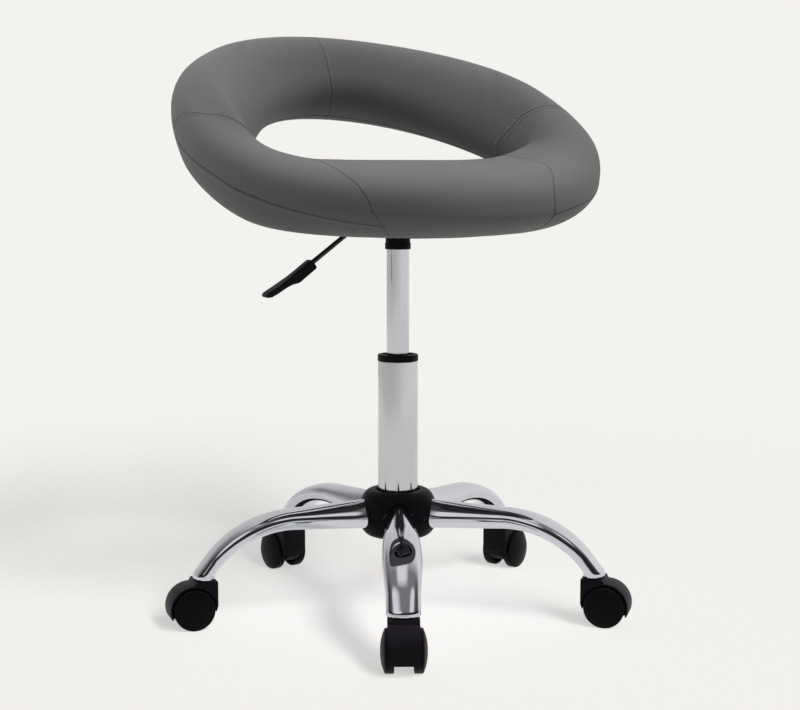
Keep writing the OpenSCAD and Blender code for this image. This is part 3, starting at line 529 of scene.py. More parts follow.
def base_cloth(finishes):
    """Spun-bonded black cloth, stapled over the underside: no sheen, faint dimples where it is welded."""
    material, tree, shader, place = new_material("Black spun-bonded cloth")
    fibres = add_node(tree, "TexNoise", {"Vector": place, "Scale": 1500.0, "Detail": 3.0})
    tone = add_node(tree, "Mix", {0: fibres, 6: rgba(finishes.plastic, 0.6), 7: rgba(finishes.plastic, 1.3)},
                    data_type="RGBA")
    # Weld points 1.6 mm apart
    welds = add_node(tree, "TexVoronoi", {"Vector": place, "Scale": 620.0, "Randomness": 0.2}, feature="F1")
    dimples = add_node(tree, "Bump", {"Height": welds, "Strength": 0.3, "Distance": 0.0003})
    set_inputs(tree, shader, {"Base Color": tone.outputs[2], "Roughness": 0.95, "Specular IOR Level": 0.05,
                              "Normal": dimples})
    return material


def powder_coat(finishes):
    """Semi-gloss powder coat: orange peel about 1.5 mm across."""
    material, tree, shader, place = new_material("Black powder coat")
    peel = add_node(tree, "TexNoise", {"Vector": place, "Scale": 650.0, "Detail": 2.0})
    rough = add_node(tree, "MapRange", {"Value": peel, "To Min": 0.32, "To Max": 0.44})
    skin_of_it = add_node(tree, "Bump", {"Height": peel, "Strength": 0.12, "Distance": 0.0004})
    set_inputs(tree, shader, {"Base Color": rgba(finishes.powder), "Roughness": rough, "Normal": skin_of_it})
    return material


def zinc_plate(finishes):
    """Bright zinc on turned and drawn steel: greyish, with short soft scratches."""
    material, tree, shader, place = new_material("Bright zinc plate")
    marks = add_node(tree, "TexNoise", {"Vector": place, "Scale": 320.0, "Detail": 4.0})
    rough = add_node(tree, "MapRange", {"Value": marks, "To Min": 0.22, "To Max": 0.42})
    scratches = add_node(tree, "Bump", {"Height": marks, "Strength": 0.08, "Distance": 0.0003})
    set_inputs(tree, shader, {"Base Color": rgba(finishes.zinc), "Metallic": 1.0, "Roughness": rough,
                              "Normal": scratches})
    return material


def birch_plywood(finishes):
    """Rotary-cut birch: long pale figure with darker growth lines."""
    material, tree, shader, place = new_material("Birch plywood")
    stretched = add_node(tree, "Mapping", {"Vector": place, "Scale": (1.0, 9.0, 1.0)})
    figure = add_node(tree, "TexNoise", {"Vector": stretched, "Scale": 14.0, "Detail": 6.0, "Roughness": 0.6})
    tone = add_node(tree, "Mix", {0: figure, 6: rgba(finishes.plywood, 0.72), 7: rgba(finishes.plywood, 1.15)},
                    data_type="RGBA")
    pores = add_node(tree, "Bump", {"Height": figure, "Strength": 0.15, "Distance": 0.0004})
    set_inputs(tree, shader, {"Base Color": tone.outputs[2], "Roughness": 0.62, "Normal": pores})
    return material


MATERIALS = {}


def make_materials():
    """Every finish of the chair, by the name that the pieces ask for it."""
    finishes = bpy.context.scene.chair_finishes
    MATERIALS.update(
        cover=cover_leather(finishes), thread=sewing_thread("Grey polyester thread", finishes.thread),
        # The front seams' thread is near black: painted shade for the pulls that its stitches sink into
        dark_thread=sewing_thread("Dark polyester thread", rgba(finishes.cover, 0.05)),
        chrome=chrome_plate(finishes), tube=ground_tube(finishes), powder=powder_coat(finishes),
        zinc=zinc_plate(finishes), plywood=birch_plywood(finishes), cloth=base_cloth(finishes),
        plastic=moulded_plastic("Grained black polypropylene", finishes.plastic, 0.46, 0.05),
        hood=moulded_plastic("Grained charcoal nylon", finishes.hood, 0.5, 0.08),
        nylon=moulded_plastic("Black nylon", finishes.plastic, 0.44, 0.07))


# The ring cushion's grid


# Degrees from a seam at which the grid has its extra columns and rows
NEAR_COLUMNS = (0.3, 0.7, 1.15, 1.65)
NEAR_ROWS = (0.7, 1.6, 2.9)
# Grid lines on either side that a seam shapes, and a distance in metres for everything beyond them
SEAM_LINES = 8
FAR = 9.0


def lines_between(start, end, count, near):
    """Grid lines from one seam up to the next: even ones, and the extra ones close to both seams."""
    even = [(start + (end - start) * i / count, True) for i in range(count)]
    extra = [(start + d, False) for d in near] + [(end - d, False) for d in near]
    clear = near[-1] * 1.25
    keep = [line for line in even if line[0] == start or min(line[0] - start, end - line[0]) > clear]
    return sorted(keep + extra)


def seam_place(seam, a):
    """Where a seam across the ring lies, in degrees round it, at an angle of the section."""
    mean, out, top, pinch, twist = seam
    return mean + out * np.cos(a) + top * np.sin(a) + pinch * np.cos(2 * a) + twist * np.sin(2 * a)


class RingGrid:
    """The cushion's grid of points: columns across the ring and rows round it, with a line on every seam."""

    def __init__(self, ring):
        nominal = [column for column, _, _ in SEAMS.values()]
        edges = nominal + [nominal[0] + 360]
        columns, rows = [], []
        for start, end in zip(edges, edges[1:]):
            columns += lines_between(start, end, round((end - start) * (ring.columns / 360)), NEAR_COLUMNS)
        for start, end in ((0.0, INNER_SEAM), (INNER_SEAM, 360.0)):
            rows += lines_between(start, end, round((end - start) * ring.rows / 360), NEAR_ROWS)
        self.columns, self.main_columns = (np.array(values) for values in zip(*columns))
        self.rows, self.main_rows = (np.array(values) for values in zip(*rows))
        self.seam_columns = {name: int(np.flatnonzero(self.columns == values[0])[0])
                             for name, values in SEAMS.items()}
        self.inner_row = int(np.flatnonzero(self.rows == INNER_SEAM)[0])
        self.front_panel = (self.columns < nominal[0]) | (self.columns > nominal[-1])

    def angles(self):
        """The ring's angle and the section's angle at every grid point, in radians."""
        nominal_t, nominal_a = np.meshgrid(self.columns, self.rows, indexing="ij")
        place = np.radians(nominal_t)
        climb, middle, stretch = OUTER_SEAM_CLIMB
        outer = along(OUTER_SEAM, place) + climb * np.exp(-((nominal_t - middle) / stretch) ** 2)
        outer = np.clip(outer, OUTER_SEAM_LOWEST, None)
        a = np.radians(nominal_a + outer * smoothed(1 - np.minimum(nominal_a, 360 - nominal_a) / OUTER_SEAM_PULL))
        shift = np.zeros_like(a)
        for name, (nominal, side, seam) in SEAMS.items():
            wanted = seam_place(seam, a)
            wanted = wanted if side > 0 else 360 - wanted
            gap = np.abs((nominal_t - nominal + 180) % 360 - 180)
            shift += (wanted - nominal) * smoothed(1 - gap / (FRONT_SEAM_PULL if "front" in name else SEAM_PULL))
        return np.radians(nominal_t + shift), a


def seam_gap(points, line, axis):
    """Distance along the surface of every grid point from a seam in one column (axis 0) or row (axis 1)."""
    points = np.swapaxes(points, 0, axis)
    count = len(points)
    gaps = np.full(points.shape[:2], FAR)
    gaps[line] = 0.0
    for direction in (1, -1):
        total = np.zeros(points.shape[1])
        for k in range(1, SEAM_LINES + 1):
            here, before = (line + direction * k) % count, (line + direction * (k - 1)) % count
            total = total + np.linalg.norm(points[here] - points[before], axis=-1)
            gaps[here] = np.minimum(gaps[here], total)
    return np.swapaxes(gaps, 0, axis)


def grid_faces(columns, rows):
    """Quads of a closed grid, with their fronts outside."""
    faces = []
    for i in range(columns):
        for j in range(rows):
            k, m = (i + 1) % columns, (j + 1) % rows
            faces.append((i * rows + j, k * rows + j, k * rows + m, i * rows + m))
    return faces


def grid_normals(points):
    """Outward normals of a closed grid of points."""
    across = np.roll(points, -1, 0) - np.roll(points, 1, 0)
    round_it = np.roll(points, -1, 1) - np.roll(points, 1, 1)
    normals = np.cross(across, round_it)
    return normals / np.linalg.norm(normals, axis=-1, keepdims=True)


# Frames that the cover swells for, and how many times the foam irons out its small waves
SWELL_FRAMES = 20
IRONINGS = 3


def swell(points, pinned, cap):
    """How far foam and a sewn cover swell from these points: a cloth held at its seams, under pressure."""
    columns, rows = points.shape[:2]
    mesh = bpy.data.meshes.new("swelling")
    mesh.from_pydata(points.reshape(-1, 3).tolist(), [], grid_faces(columns, rows))
    piece = bpy.data.objects.new("swelling", mesh)
    bpy.context.scene.collection.objects.link(piece)
    held = piece.vertex_groups.new(name="held")
    held.add([int(i) for i in np.flatnonzero(pinned.reshape(-1))], 1.0, "REPLACE")
    activate(piece)
    modifier = piece.modifiers.new("Cloth", "CLOTH")
    cloth = modifier.settings
    cloth.quality = 6
    cloth.mass = 0.3
    cloth.tension_stiffness = cloth.compression_stiffness = 18
    cloth.shear_stiffness = 8
    cloth.bending_stiffness = 8.0
    cloth.use_pressure = True
    cloth.uniform_pressure_force = 4.0
    cloth.vertex_group_mass = "held"
    cloth.effector_weights.gravity = 0.0
    modifier.collision_settings.use_collision = False
    modifier.point_cache.frame_start = 1
    modifier.point_cache.frame_end = SWELL_FRAMES
    scene = bpy.context.scene
    for number in range(1, SWELL_FRAMES + 1):
        scene.frame_set(number)
    bpy.ops.object.modifier_apply(modifier=modifier.name)
    moved = np.empty(len(piece.data.vertices) * 3)
    piece.data.vertices.foreach_get("co", moved)
    scene.frame_set(1)
    bpy.data.objects.remove(piece)
    step = moved.reshape(points.shape) - points
    size = np.linalg.norm(step, axis=-1, keepdims=True)
    step *= np.minimum(1, cap / np.maximum(size, 1e-9))
    # Foam under the cover irons out the small waves
    for axis in (0, 1) * IRONINGS:
        step = step / 2 + (np.roll(step, 1, axis) + np.roll(step, -1, axis)) / 4
    return step


def spread_to_all(grid, values):
    """Values of the even grid lines, spread in between to the extra lines."""
    main_t, main_a = grid.columns[grid.main_columns], grid.rows[grid.main_rows]
    out = np.empty((len(main_t), len(grid.rows), 3))
    for i in range(len(main_t)):
        for k in range(3):
            out[i, :, k] = np.interp(grid.rows, main_a, values[i, :, k], period=360)
    full = np.empty((len(grid.columns), len(grid.rows), 3))
    for j in range(len(grid.rows)):
        for k in range(3):
            full[:, j, k] = np.interp(grid.columns, main_t, out[:, j, k], period=360)
    return full


def seam_profile(gap, depth, width):
    """Height of the cover at a distance from a seam: a ditch between two soft shoulders."""
    shoulder, place, spread = 0.28 * depth, 3.2 * width, 1.6 * width
    return shoulder * np.exp(-((gap - place) / spread) ** 2) - depth * np.exp(-(gap / width) ** 2)


def window(value, low, high, soft):
    """1 between two limits, and fading to 0 over a soft edge beyond both."""
    return smoothed(np.minimum(value - low, high - value) / soft + 1)


# Rows of puckers: height, pitch and slant, then where they begin, end and fade round the ring and in its section
PUCKERS = ((0.55 * MM, 3.5, 0.05, (258, 284, 9), (160, 205, 26)),
           (0.35 * MM, 4.3, 0.0, (88, 112, 8), (170, 205, 22)))
# A slack fold and the bead beside it: height, place round the ring and width, then where they lie in the section
SLACK = ((-1.3 * MM, 122, 1.5, (142, 196, 20)), (0.5 * MM, 126, 2.2, (142, 190, 20)))
SLACK_SLANT = 0.10


def cover_folds(t, a):
    """Height of the small folds where the cover turns tightly at the ring's inner corners."""
    t, a = np.degrees(t) % 360, np.degrees(a) % 360
    height = np.zeros_like(t)
    for rise, pitch, slant, place, stretch in PUCKERS:
        height += rise * np.cos(2 * np.pi * (t + slant * a) / pitch) * window(t, *place) * window(a, *stretch)
    for rise, place, width, stretch in SLACK:
        height += rise * np.exp(-((t - place + SLACK_SLANT * (a - 160)) / width) ** 2) * window(a, *stretch)
    return height


def box_depth(x, y, half_x, half_y, corner):
    """How far inside a rounded rectangle round the origin a point is, in metres; outside is negative."""
    x, y = np.abs(x) - (half_x - corner), np.abs(y) - (half_y - corner)
    return corner - np.hypot(np.clip(x, 0, None), np.clip(y, 0, None)) - np.minimum(np.maximum(x, y), 0)


# Depth as a share of the ring's seam depth, and strength of the shade painted along its bottom, of the ditch at a
# seam across the ring that has twin stitch rows, at a plain one, and at a seam round the ring
TWIN_DITCH = (0.45, 0.4)
PLAIN_DITCH = (0.4, 0.25)
ROUND_DITCH = (0.55, 0.85)
STITCH_DITCH_SHARE = 0.3
# Half widths of the ditches, and of the lines of painted shade at their bottoms
DITCH_W = 1.0 * MM
STITCH_DITCH_W = 1.2 * MM
CROSS_LINE_W = 0.6 * MM
ROUND_LINE_W = 0.7 * MM
# Strength of the inner seam at the front, both thirds and the rear
INNER_SEAM_FADE = (0.0, 0.25, 1.0, 1.0)
# How far out the underside's cloth reaches, as a share of the seat board's outline
CLOTH_REACH = 0.84
# The finished grid, which the stitching follows
RING = {}


class ChairCushion(bpy.types.Operator):
    """Upholster the ring: foam under a sewn cover that swells between its seams"""
    bl_idname = "chair.cushion"
    bl_label = "Ring cushion"

    def execute(self, context):
        ring = context.scene.chair_ring
        grid = RingGrid(ring)
        t, a = grid.angles()
        points = skin(ring, t, a)
        outward = grid_normals(points)
        fade = along(INNER_SEAM_FADE, np.radians(grid.columns)).clip(0, 1)
        main = np.ix_(grid.main_columns, grid.main_rows)
        held = np.zeros(points.shape[:2], bool)
        held[list(grid.seam_columns.values())] = True
        held[~grid.front_panel, 0] = True
        held[fade > 0.5, grid.inner_row] = True
        moved = spread_to_all(grid, swell(points[main], held[main], ring.puff))
        shape = points + moved
        height = np.zeros(points.shape[:2])
        # Strength of the shade painted along the bottoms of the seams, which darkens the cover
        ditch = np.zeros(points.shape[:2])
        for name, index in grid.seam_columns.items():
            gap = seam_gap(points, index, 0)
            depth, painted_shade = TWIN_DITCH if name in TWIN_SEAMS else PLAIN_DITCH
            height += seam_profile(gap, ring.seam_depth * depth, DITCH_W)
            if name in TWIN_SEAMS:
                height += seam_profile(np.abs(gap - ring.twin_gap), STITCH_DITCH_SHARE * ring.seam_depth,
                                       STITCH_DITCH_W)
            ditch = np.maximum(ditch, painted_shade * np.exp(-(gap / CROSS_LINE_W) ** 2))
        outer_gap = seam_gap(points, 0, 1)
        outer_gap[grid.front_panel] = FAR
        depth, painted_shade = ROUND_DITCH
        for gap, strength in ((outer_gap, np.ones_like(fade)), (seam_gap(points, grid.inner_row, 1), fade)):
            height += seam_profile(gap, depth * ring.seam_depth, DITCH_W) * strength[:, None]
            ditch = np.maximum(ditch, painted_shade * np.exp(-(gap / ROUND_LINE_W) ** 2) * strength[:, None])
        height += cover_folds(t, a)
        shape = sink_recess(shape + outward * height[..., None])
        self.build(context, shape, ditch)
        grid.shape = shape
        RING["grid"] = grid
        return {"FINISHED"}

    def build(self, context, shape, ditch):
        """The cushion's mesh, its cover and the cloth under it."""
        clear_selection()
        mesh = bpy.data.meshes.new("ring_cushion")
        mesh.from_pydata(shape.reshape(-1, 3).tolist(), [], grid_faces(*shape.shape[:2]))
        # The painted shade along the seam bottoms goes to the cover's material as an attribute
        values = mesh.attributes.new("ditch", "FLOAT", "POINT")
        values.data.foreach_set("value", ditch.reshape(-1).astype(np.float32))
        cushion = bpy.data.objects.new("ring_cushion", mesh)
        context.scene.collection.objects.link(cushion)
        apply_modifier(cushion, "SUBSURF", levels=1, render_levels=1)
        finish_piece(cushion, "seat", "cover", ["seat_cushion"], smooth=180)
        cushion.data.materials.append(MATERIALS["cloth"])
        low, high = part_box("seat_board")
        for face in cushion.data.polygons:
            x, y, z = face.center
            across = math.hypot(x / high.x, (y - (low.y + high.y) / 2) / ((high.y - low.y) / 2))
            looks_down = z < low.z + 4 * MM and face.normal.z < -0.96
            face.material_index = int(looks_down and across < CLOTH_REACH)


def sink_recess(points):
    """Draws the underside up to the seat board round the mount plate and along the lever."""
    low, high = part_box("mount_plate")
    board_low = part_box("seat_board")[0].z
    x, y = points[..., 0], points[..., 1]
    room, corner = 4 * MM, 16 * MM
    slot_half_l, slot_half_w = 46 * MM, 8 * MM
    plate = box_depth(x, y - (high.y + low.y) / 2, high.x + room, (high.y - low.y) / 2 + room, corner)
    slot = box_depth(x + slot_half_l, y, slot_half_l, slot_half_w, 0)
    # The cover rises over 7 mm, from 3 mm outside the recess's edge, to just over the board's underside
    pull = smoothed((np.maximum(plate, slot) + 3 * MM) / (7 * MM))
    under = points[..., 2] < board_low
    target = board_low + 1.5 * MM
    shape = points.copy()
    shape[..., 2] = np.where(under, points[..., 2] + (target - points[..., 2]) * pull, points[..., 2])
    return shape


# Half length, half width and half height of a stitch
STITCH = (1.7 * MM, 0.5 * MM, 0.45 * MM)
# How far the row of stitches lies below the outer seam
UNDER_GAP = 5.5 * MM


def stitch(name):
    """One stitch: a short thread, thick in the middle and pulled down at both ends. It lies along X."""
    clear_selection()
    bpy.ops.mesh.primitive_uv_sphere_add(segments=6, ring_count=5, radius=1)
    thread = bpy.context.object
    thread.name = name
    thread.rotation_euler = (0, math.pi / 2, 0)
    bpy.ops.object.transform_apply(rotation=True)
    thread.scale = STITCH
    bpy.ops.object.transform_apply(scale=True)
    return thread


def stitch_row(name, path, up, pitch, lift=0.2 * MM):
    """Stitches along a path of points, each lying in the surface whose normals are given."""
    steps = np.linalg.norm(np.diff(path, axis=0), axis=1)
    place = np.concatenate([[0], np.cumsum(steps)])
    count = int(place[-1] / pitch)
    seed = stitch(name + "_seed")
    base = np.array([v.co for v in seed.data.vertices])
    polygons = [tuple(p.vertices) for p in seed.data.polygons]
    vertices, faces = [], []
    for i in range(count):
        here = (i + 0.5) * pitch
        centre = np.array([np.interp(here, place, path[:, k]) for k in range(3)])
        ahead = np.array([np.interp(here + pitch / 3, place, path[:, k]) for k in range(3)])
        normal = np.array([np.interp(here, place, up[:, k]) for k in range(3)])
        along_it = ahead - centre
        if np.linalg.norm(along_it) < 1e-7:
            continue
        along_it /= np.linalg.norm(along_it)
        side = np.cross(normal, along_it)
        side /= np.linalg.norm(side)
        normal = np.cross(along_it, side)
        turn_to = np.stack([along_it, side, normal], 1)
        offset = len(vertices)
        vertices += (base @ turn_to.T + centre + normal * lift).tolist()
        faces += [tuple(offset + v for v in p) for p in polygons]
    bpy.data.objects.remove(seed)
    mesh = bpy.data.meshes.new(name)
    mesh.from_pydata(vertices, [], faces)
    row = bpy.data.objects.new(name, mesh)
    bpy.context.scene.collection.objects.link(row)
    return row


def beside_seam(shape, normals, starts, stride, distance):
    """Points at a distance from a seam's grid points, walked over the grid, and the cover's normals there."""
    path, up = [], []
    for here in starts:
        left = distance
        while True:
            there = (here[0] + stride[0]) % shape.shape[0], (here[1] + stride[1]) % shape.shape[1]
            step = np.linalg.norm(shape[there] - shape[here])
            if step >= left:
                break
            left -= step
            here = there
        path.append(shape[here] + (shape[there] - shape[here]) * left / step)
        up.append(normals[here])
    return np.array(path), np.array(up)


class ChairStitching(bpy.types.Operator):
    """Sew the cover: twin rows beside three seams and one row under the outer seam"""
    bl_idname = "chair.stitching"
    bl_label = "Stitching"

    def execute(self, context):
        ring = context.scene.chair_ring
        grid = RING["grid"]
        shape = grid.shape
        normals = grid_normals(shape)
        rows = []
        # The twin rows run over the top, from just past the outer seam to just short of the inner one
        first, last = np.searchsorted(grid.rows, [5.0, INNER_SEAM - 4.0])
        for name in TWIN_SEAMS:
            starts = [(grid.seam_columns[name], row) for row in range(first, last)]
            for direction in (1, -1):
                path, up = beside_seam(shape, normals, starts, (direction, 0), ring.twin_gap)
                rows.append(stitch_row("twin_row", path, up, ring.twin_pitch))
        first, last = grid.seam_columns["right front"], grid.seam_columns["left front"]
        path, up = beside_seam(shape, normals, [(column, 0) for column in range(first + 1, last)], (0, -1), UNDER_GAP)
        rows.append(stitch_row("under_row", path, up, ring.stitch_pitch, -0.15 * MM))
        finish_piece(joined("ring_stitching", rows), "seat", "thread", smooth=180)
        # The front seams are sewn where they show, from low outside over the top to the hole; their thread is painted
        # near black, the shade of the pulls that the stitches sink into
        rows = []
        inside = np.flatnonzero((grid.rows < 150) | (grid.rows > 300))
        inside = np.roll(inside, -int(np.argmax(grid.rows[inside] > 300)))
        for name in ("right front", "left front"):
            index = grid.seam_columns[name]
            rows.append(stitch_row("dark_row", shape[index, inside], normals[index, inside], ring.stitch_pitch,
                                   0.1 * MM))
        finish_piece(joined("front_seam_stitching", rows), "seat", "dark_thread", smooth=180)
        return {"FINISHED"}


# Legs and base


LEGS = range(1, 6)
LEG_STEP = math.radians(72)


def leg_place(base, k):
    """Turns a piece made along +X to leg k, from 1."""
    return Matrix.Rotation(base.base_turn - math.pi / 2 + LEG_STEP * (k - 1), 4, "Z")


def leg_section(half_w, half_h, low, root, count=48):
    """A leg's section, across and up from its widest level: flat flanks that meet in a round crest near the hub."""
    sharpest = 5 * MM
    crest = sharpest + (min(half_w, half_h) - sharpest) * (1 - root) ** 2 * 0.5
    # Powers of the upper half, which is round at 2 and flat-sided near 1, and of the fuller lower half
    power = 2.0 - 0.82 * root
    under = 2.2
    points = []
    inner_w, inner_h = half_w - crest, half_h * (1 + low) - crest
    for j in range(count):
        angle = 2 * math.pi * j / count
        c, s = math.cos(angle), math.sin(angle)
        if s >= 0:
            x = inner_w * math.copysign(abs(c) ** (2 / power), c)
            z = inner_h * abs(s) ** (2 / power)
            nx = math.copysign(abs(x / inner_w) ** (power - 1) / inner_w, c) if abs(c) > 1e-9 else 0.0
            nz = abs(z / inner_h) ** (power - 1) / inner_h if s > 1e-9 else 0.0
            size = math.hypot(nx, nz) or 1.0
            points.append((x + crest * nx / size, z + crest * nz / size - half_h * low))
        else:
            x = half_w * math.copysign(abs(c) ** (2 / under), c)
            z = -half_h * (1 - low) * abs(s) ** (2 / under)
            points.append((x, z - half_h * low))
    return points


# Radius inside the hub cover at which the legs begin, and height and half length of the lip at their ends
HUB_R = 0.0298
LIP_H = 5 * MM
LIP_HALF_L = 13 * MM
# Width of a leg at the hub, and the share of its straight run over which it widens
HUB_W = 0.033
WIDENING = 0.3
# Shares of its fall in height and of its loss of crest that a leg has on its straight run; the bend has the rest
RUN_FALL = 0.66
RUN_FLATTENING = 0.75
# How low the widest level lies at the hub, as a share of the half height
HUB_LOW = 0.22


def leg_straight_end(base):
    """How far out a leg runs straight before its bend."""
    drop = base.leg_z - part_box("leg_1")[0].z - LIP_H - base.bend_r * (1 - math.cos(base.bend_a))
    slope = drop / math.sin(base.bend_a)
    return base.stem_circle - base.bend_r * math.sin(base.bend_a) - slope * math.cos(base.bend_a)


def leg_shape(base, s, b, shrink=0.0):
    """Half width, half height, how low the widest level is and how crested a leg is, along it and round its bend."""
    half_w = (HUB_W + (base.run_w - HUB_W) * math.sin(math.pi / 2 * min(1, s / WIDENING))
              + (base.end_w - base.run_w) * b + (base.leg_w - base.run_w) * math.sin(math.pi * b)) / 2 - shrink
    half_h = (base.root_h + (base.end_h - base.root_h) * (RUN_FALL * s + (1 - RUN_FALL) * b)) / 2 - shrink
    crested = max(0.0, 1 - RUN_FLATTENING * s - (1 - RUN_FLATTENING) * b)
    return half_w, half_h, HUB_LOW * (1 - s), crested


def leg_rings(base, shrink=0.0):
    """Rings of a leg along +X: from inside the hub cover, straight, round the bend, down the slope to its lip."""
    end_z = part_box("leg_1")[0].z
    straight_end = leg_straight_end(base)

    def ring(x, z, turned_by, s, b):
        section = leg_section(*leg_shape(base, s, b, shrink))
        return [Vector((x + up * math.sin(turned_by), across, z + up * math.cos(turned_by)))
                for across, up in section]

    rings = []
    steps = 22
    for i in range(steps + 1):
        s = i / steps
        rings.append(ring(HUB_R + s * (straight_end - HUB_R), base.leg_z, 0.0, s, 0.0))
    bends = 26
    for i in range(1, bends + 1):
        b = i / bends
        angle = base.bend_a * b
        rings.append(ring(straight_end + base.bend_r * math.sin(angle),
                          base.leg_z - base.bend_r * (1 - math.cos(angle)), angle, 1.0, b))
    low = leg_section(base.end_w / 2 - shrink, LIP_HALF_L - shrink, 0.0, 0.0)

    def upright(level, shift):
        return [Vector((base.stem_circle + shift + up, across, level)) for across, up in low]

    top = upright(end_z + LIP_H, -0.8 * MM)
    for start, end, count in ((rings[-1], top, 8), (top, upright(end_z + 0.4 * MM, 0.0), 3)):
        rings += [[p.lerp(q, i / count) for p, q in zip(start, end)] for i in range(1, count + 1)]
    return rings, upright(end_z, 0.0)


class ChairLegs(bpy.types.Operator):
    """Form the five legs: chromed tubes pressed from a crested section to a flat oval end"""
    bl_idname = "chair.legs"
    bl_label = "Legs"

    def execute(self, context):
        base = context.scene.chair_base
        rings, foot = leg_rings(base)
        inner, inner_foot = leg_rings(base, base.wall)
        # The lip's lower edge turns in, in two steps, to the wall's inner side, which runs up inside the leg
        for share in (0.02, 0.6 * base.wall / (16 * MM)):
            rings.append([p.lerp(Vector((base.stem_circle, 0, p.z)), share) for p in foot])
        rings.append(inner_foot)
        rings += [[Vector((p.x, p.y, p.z + 0.2 * MM)) for p in ring] for ring in reversed(inner[-6:])]
        leg = drawn_out("leg", rings, first_cap=False)
        for k in LEGS:
            piece = copied(leg, f"leg_shell_{k}", leg_place(base, k))
            finish_piece(piece, "base", "chrome", [f"leg_{k}"], smooth=50)
        bpy.data.objects.remove(leg)
        return {"FINISHED"}


class ChairFrameFinishes(bpy.types.Operator):
    """Give every carried-over solid its finish"""
    bl_idname = "chair.frame_finishes"
    bl_label = "Frame finishes"

    def execute(self, context):
        finish_of = {"pu_cover": "cover", "plywood": "plywood", "black_steel": "powder", "zinc_steel": "zinc",
                     "chrome": "tube", "black_plastic": "plastic", "wheel_nylon": "nylon"}
        slots = {row["node"]: row["material_slot"] for row in frame["record"]["subparts"]}
        for name, node in frame["nodes"].items():
            node.data.materials.clear()
            node.data.materials.append(MATERIALS[finish_of[slots[name]]])
        return {"FINISHED"}


# Lift, column and hub cover


def round_edge(corner, before, after, radius, steps=5):
    """Points of a rounded corner of a profile, between the points before and after it."""
    corner, before, after = Vector(corner), Vector(before), Vector(after)
    into, away = (before - corner).normalized(), (after - corner).normalized()
    half = into.angle(away) / 2
    # The rounding takes just under half of either side at most
    run = min(radius / math.tan(half), 0.49 * (before - corner).length, 0.49 * (after - corner).length)
    radius = run * math.tan(half)
    centre = corner + (into + away).normalized() * radius / math.sin(half)
    first, last = corner + into * run - centre, corner + away * run - centre
    sweep = math.pi - 2 * half
    points = []
    for i in range(steps + 1):
        f = i / steps
        weight = math.sin((1 - f) * sweep), math.sin(f * sweep)
        points.append(centre + (first * weight[0] + last * weight[1]) / math.sin(sweep))
    return points


def eased(profile, radii, steps=5):
    """A closed profile whose corners are rounded, each by its own radius."""
    points = []
    for i, (corner, radius) in enumerate(zip(profile, radii)):
        if radius:
            points += [tuple(p) for p in round_edge(corner, profile[i - 1], profile[(i + 1) % len(profile)],
                                                    radius, steps)]
        else:
            points.append(tuple(corner))
    return points


class ChairLift(bpy.types.Operator):
    """Turn the pressure tube and the black socket that it seats in"""
    bl_idname = "chair.lift"
    bl_label = "Lift and socket"

    def execute(self, context):
        lift = context.scene.chair_lift
        low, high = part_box("pressure_tube")
        wall, taper = 2 * MM, 0.75 * MM
        bore = lift.lift_r - wall
        tube = turned("lift_tube", eased(
            [(bore, low.z), (lift.lift_r, low.z), (lift.lift_r, lift.collar_z), (lift.lift_r - taper, high.z),
             (bore - taper, high.z), (bore, lift.collar_z)], [0, 0.4 * MM, 0, 0.5 * MM, 0, 0]))
        finish_piece(tube, "seat", "tube", ["pressure_tube"])
        # A step 8 mm up parts the socket's body from its slimmer neck
        step_z, neck_r = lift.collar_z + 8 * MM, lift.collar_r - 0.7 * MM
        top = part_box("taper_socket")[1].z
        socket = turned("lift_socket", eased(
            [(lift.lift_r + 0.05 * MM, lift.collar_z), (lift.collar_r, lift.collar_z), (lift.collar_r, step_z),
             (neck_r, step_z), (neck_r, top), (lift.lift_r - taper, top)],
            [0.3 * MM, 1.1 * MM, 0.6 * MM, 0, 0.4 * MM, 0]))
        finish_piece(socket, "seat", "plastic", ["taper_socket"])
        return {"FINISHED"}


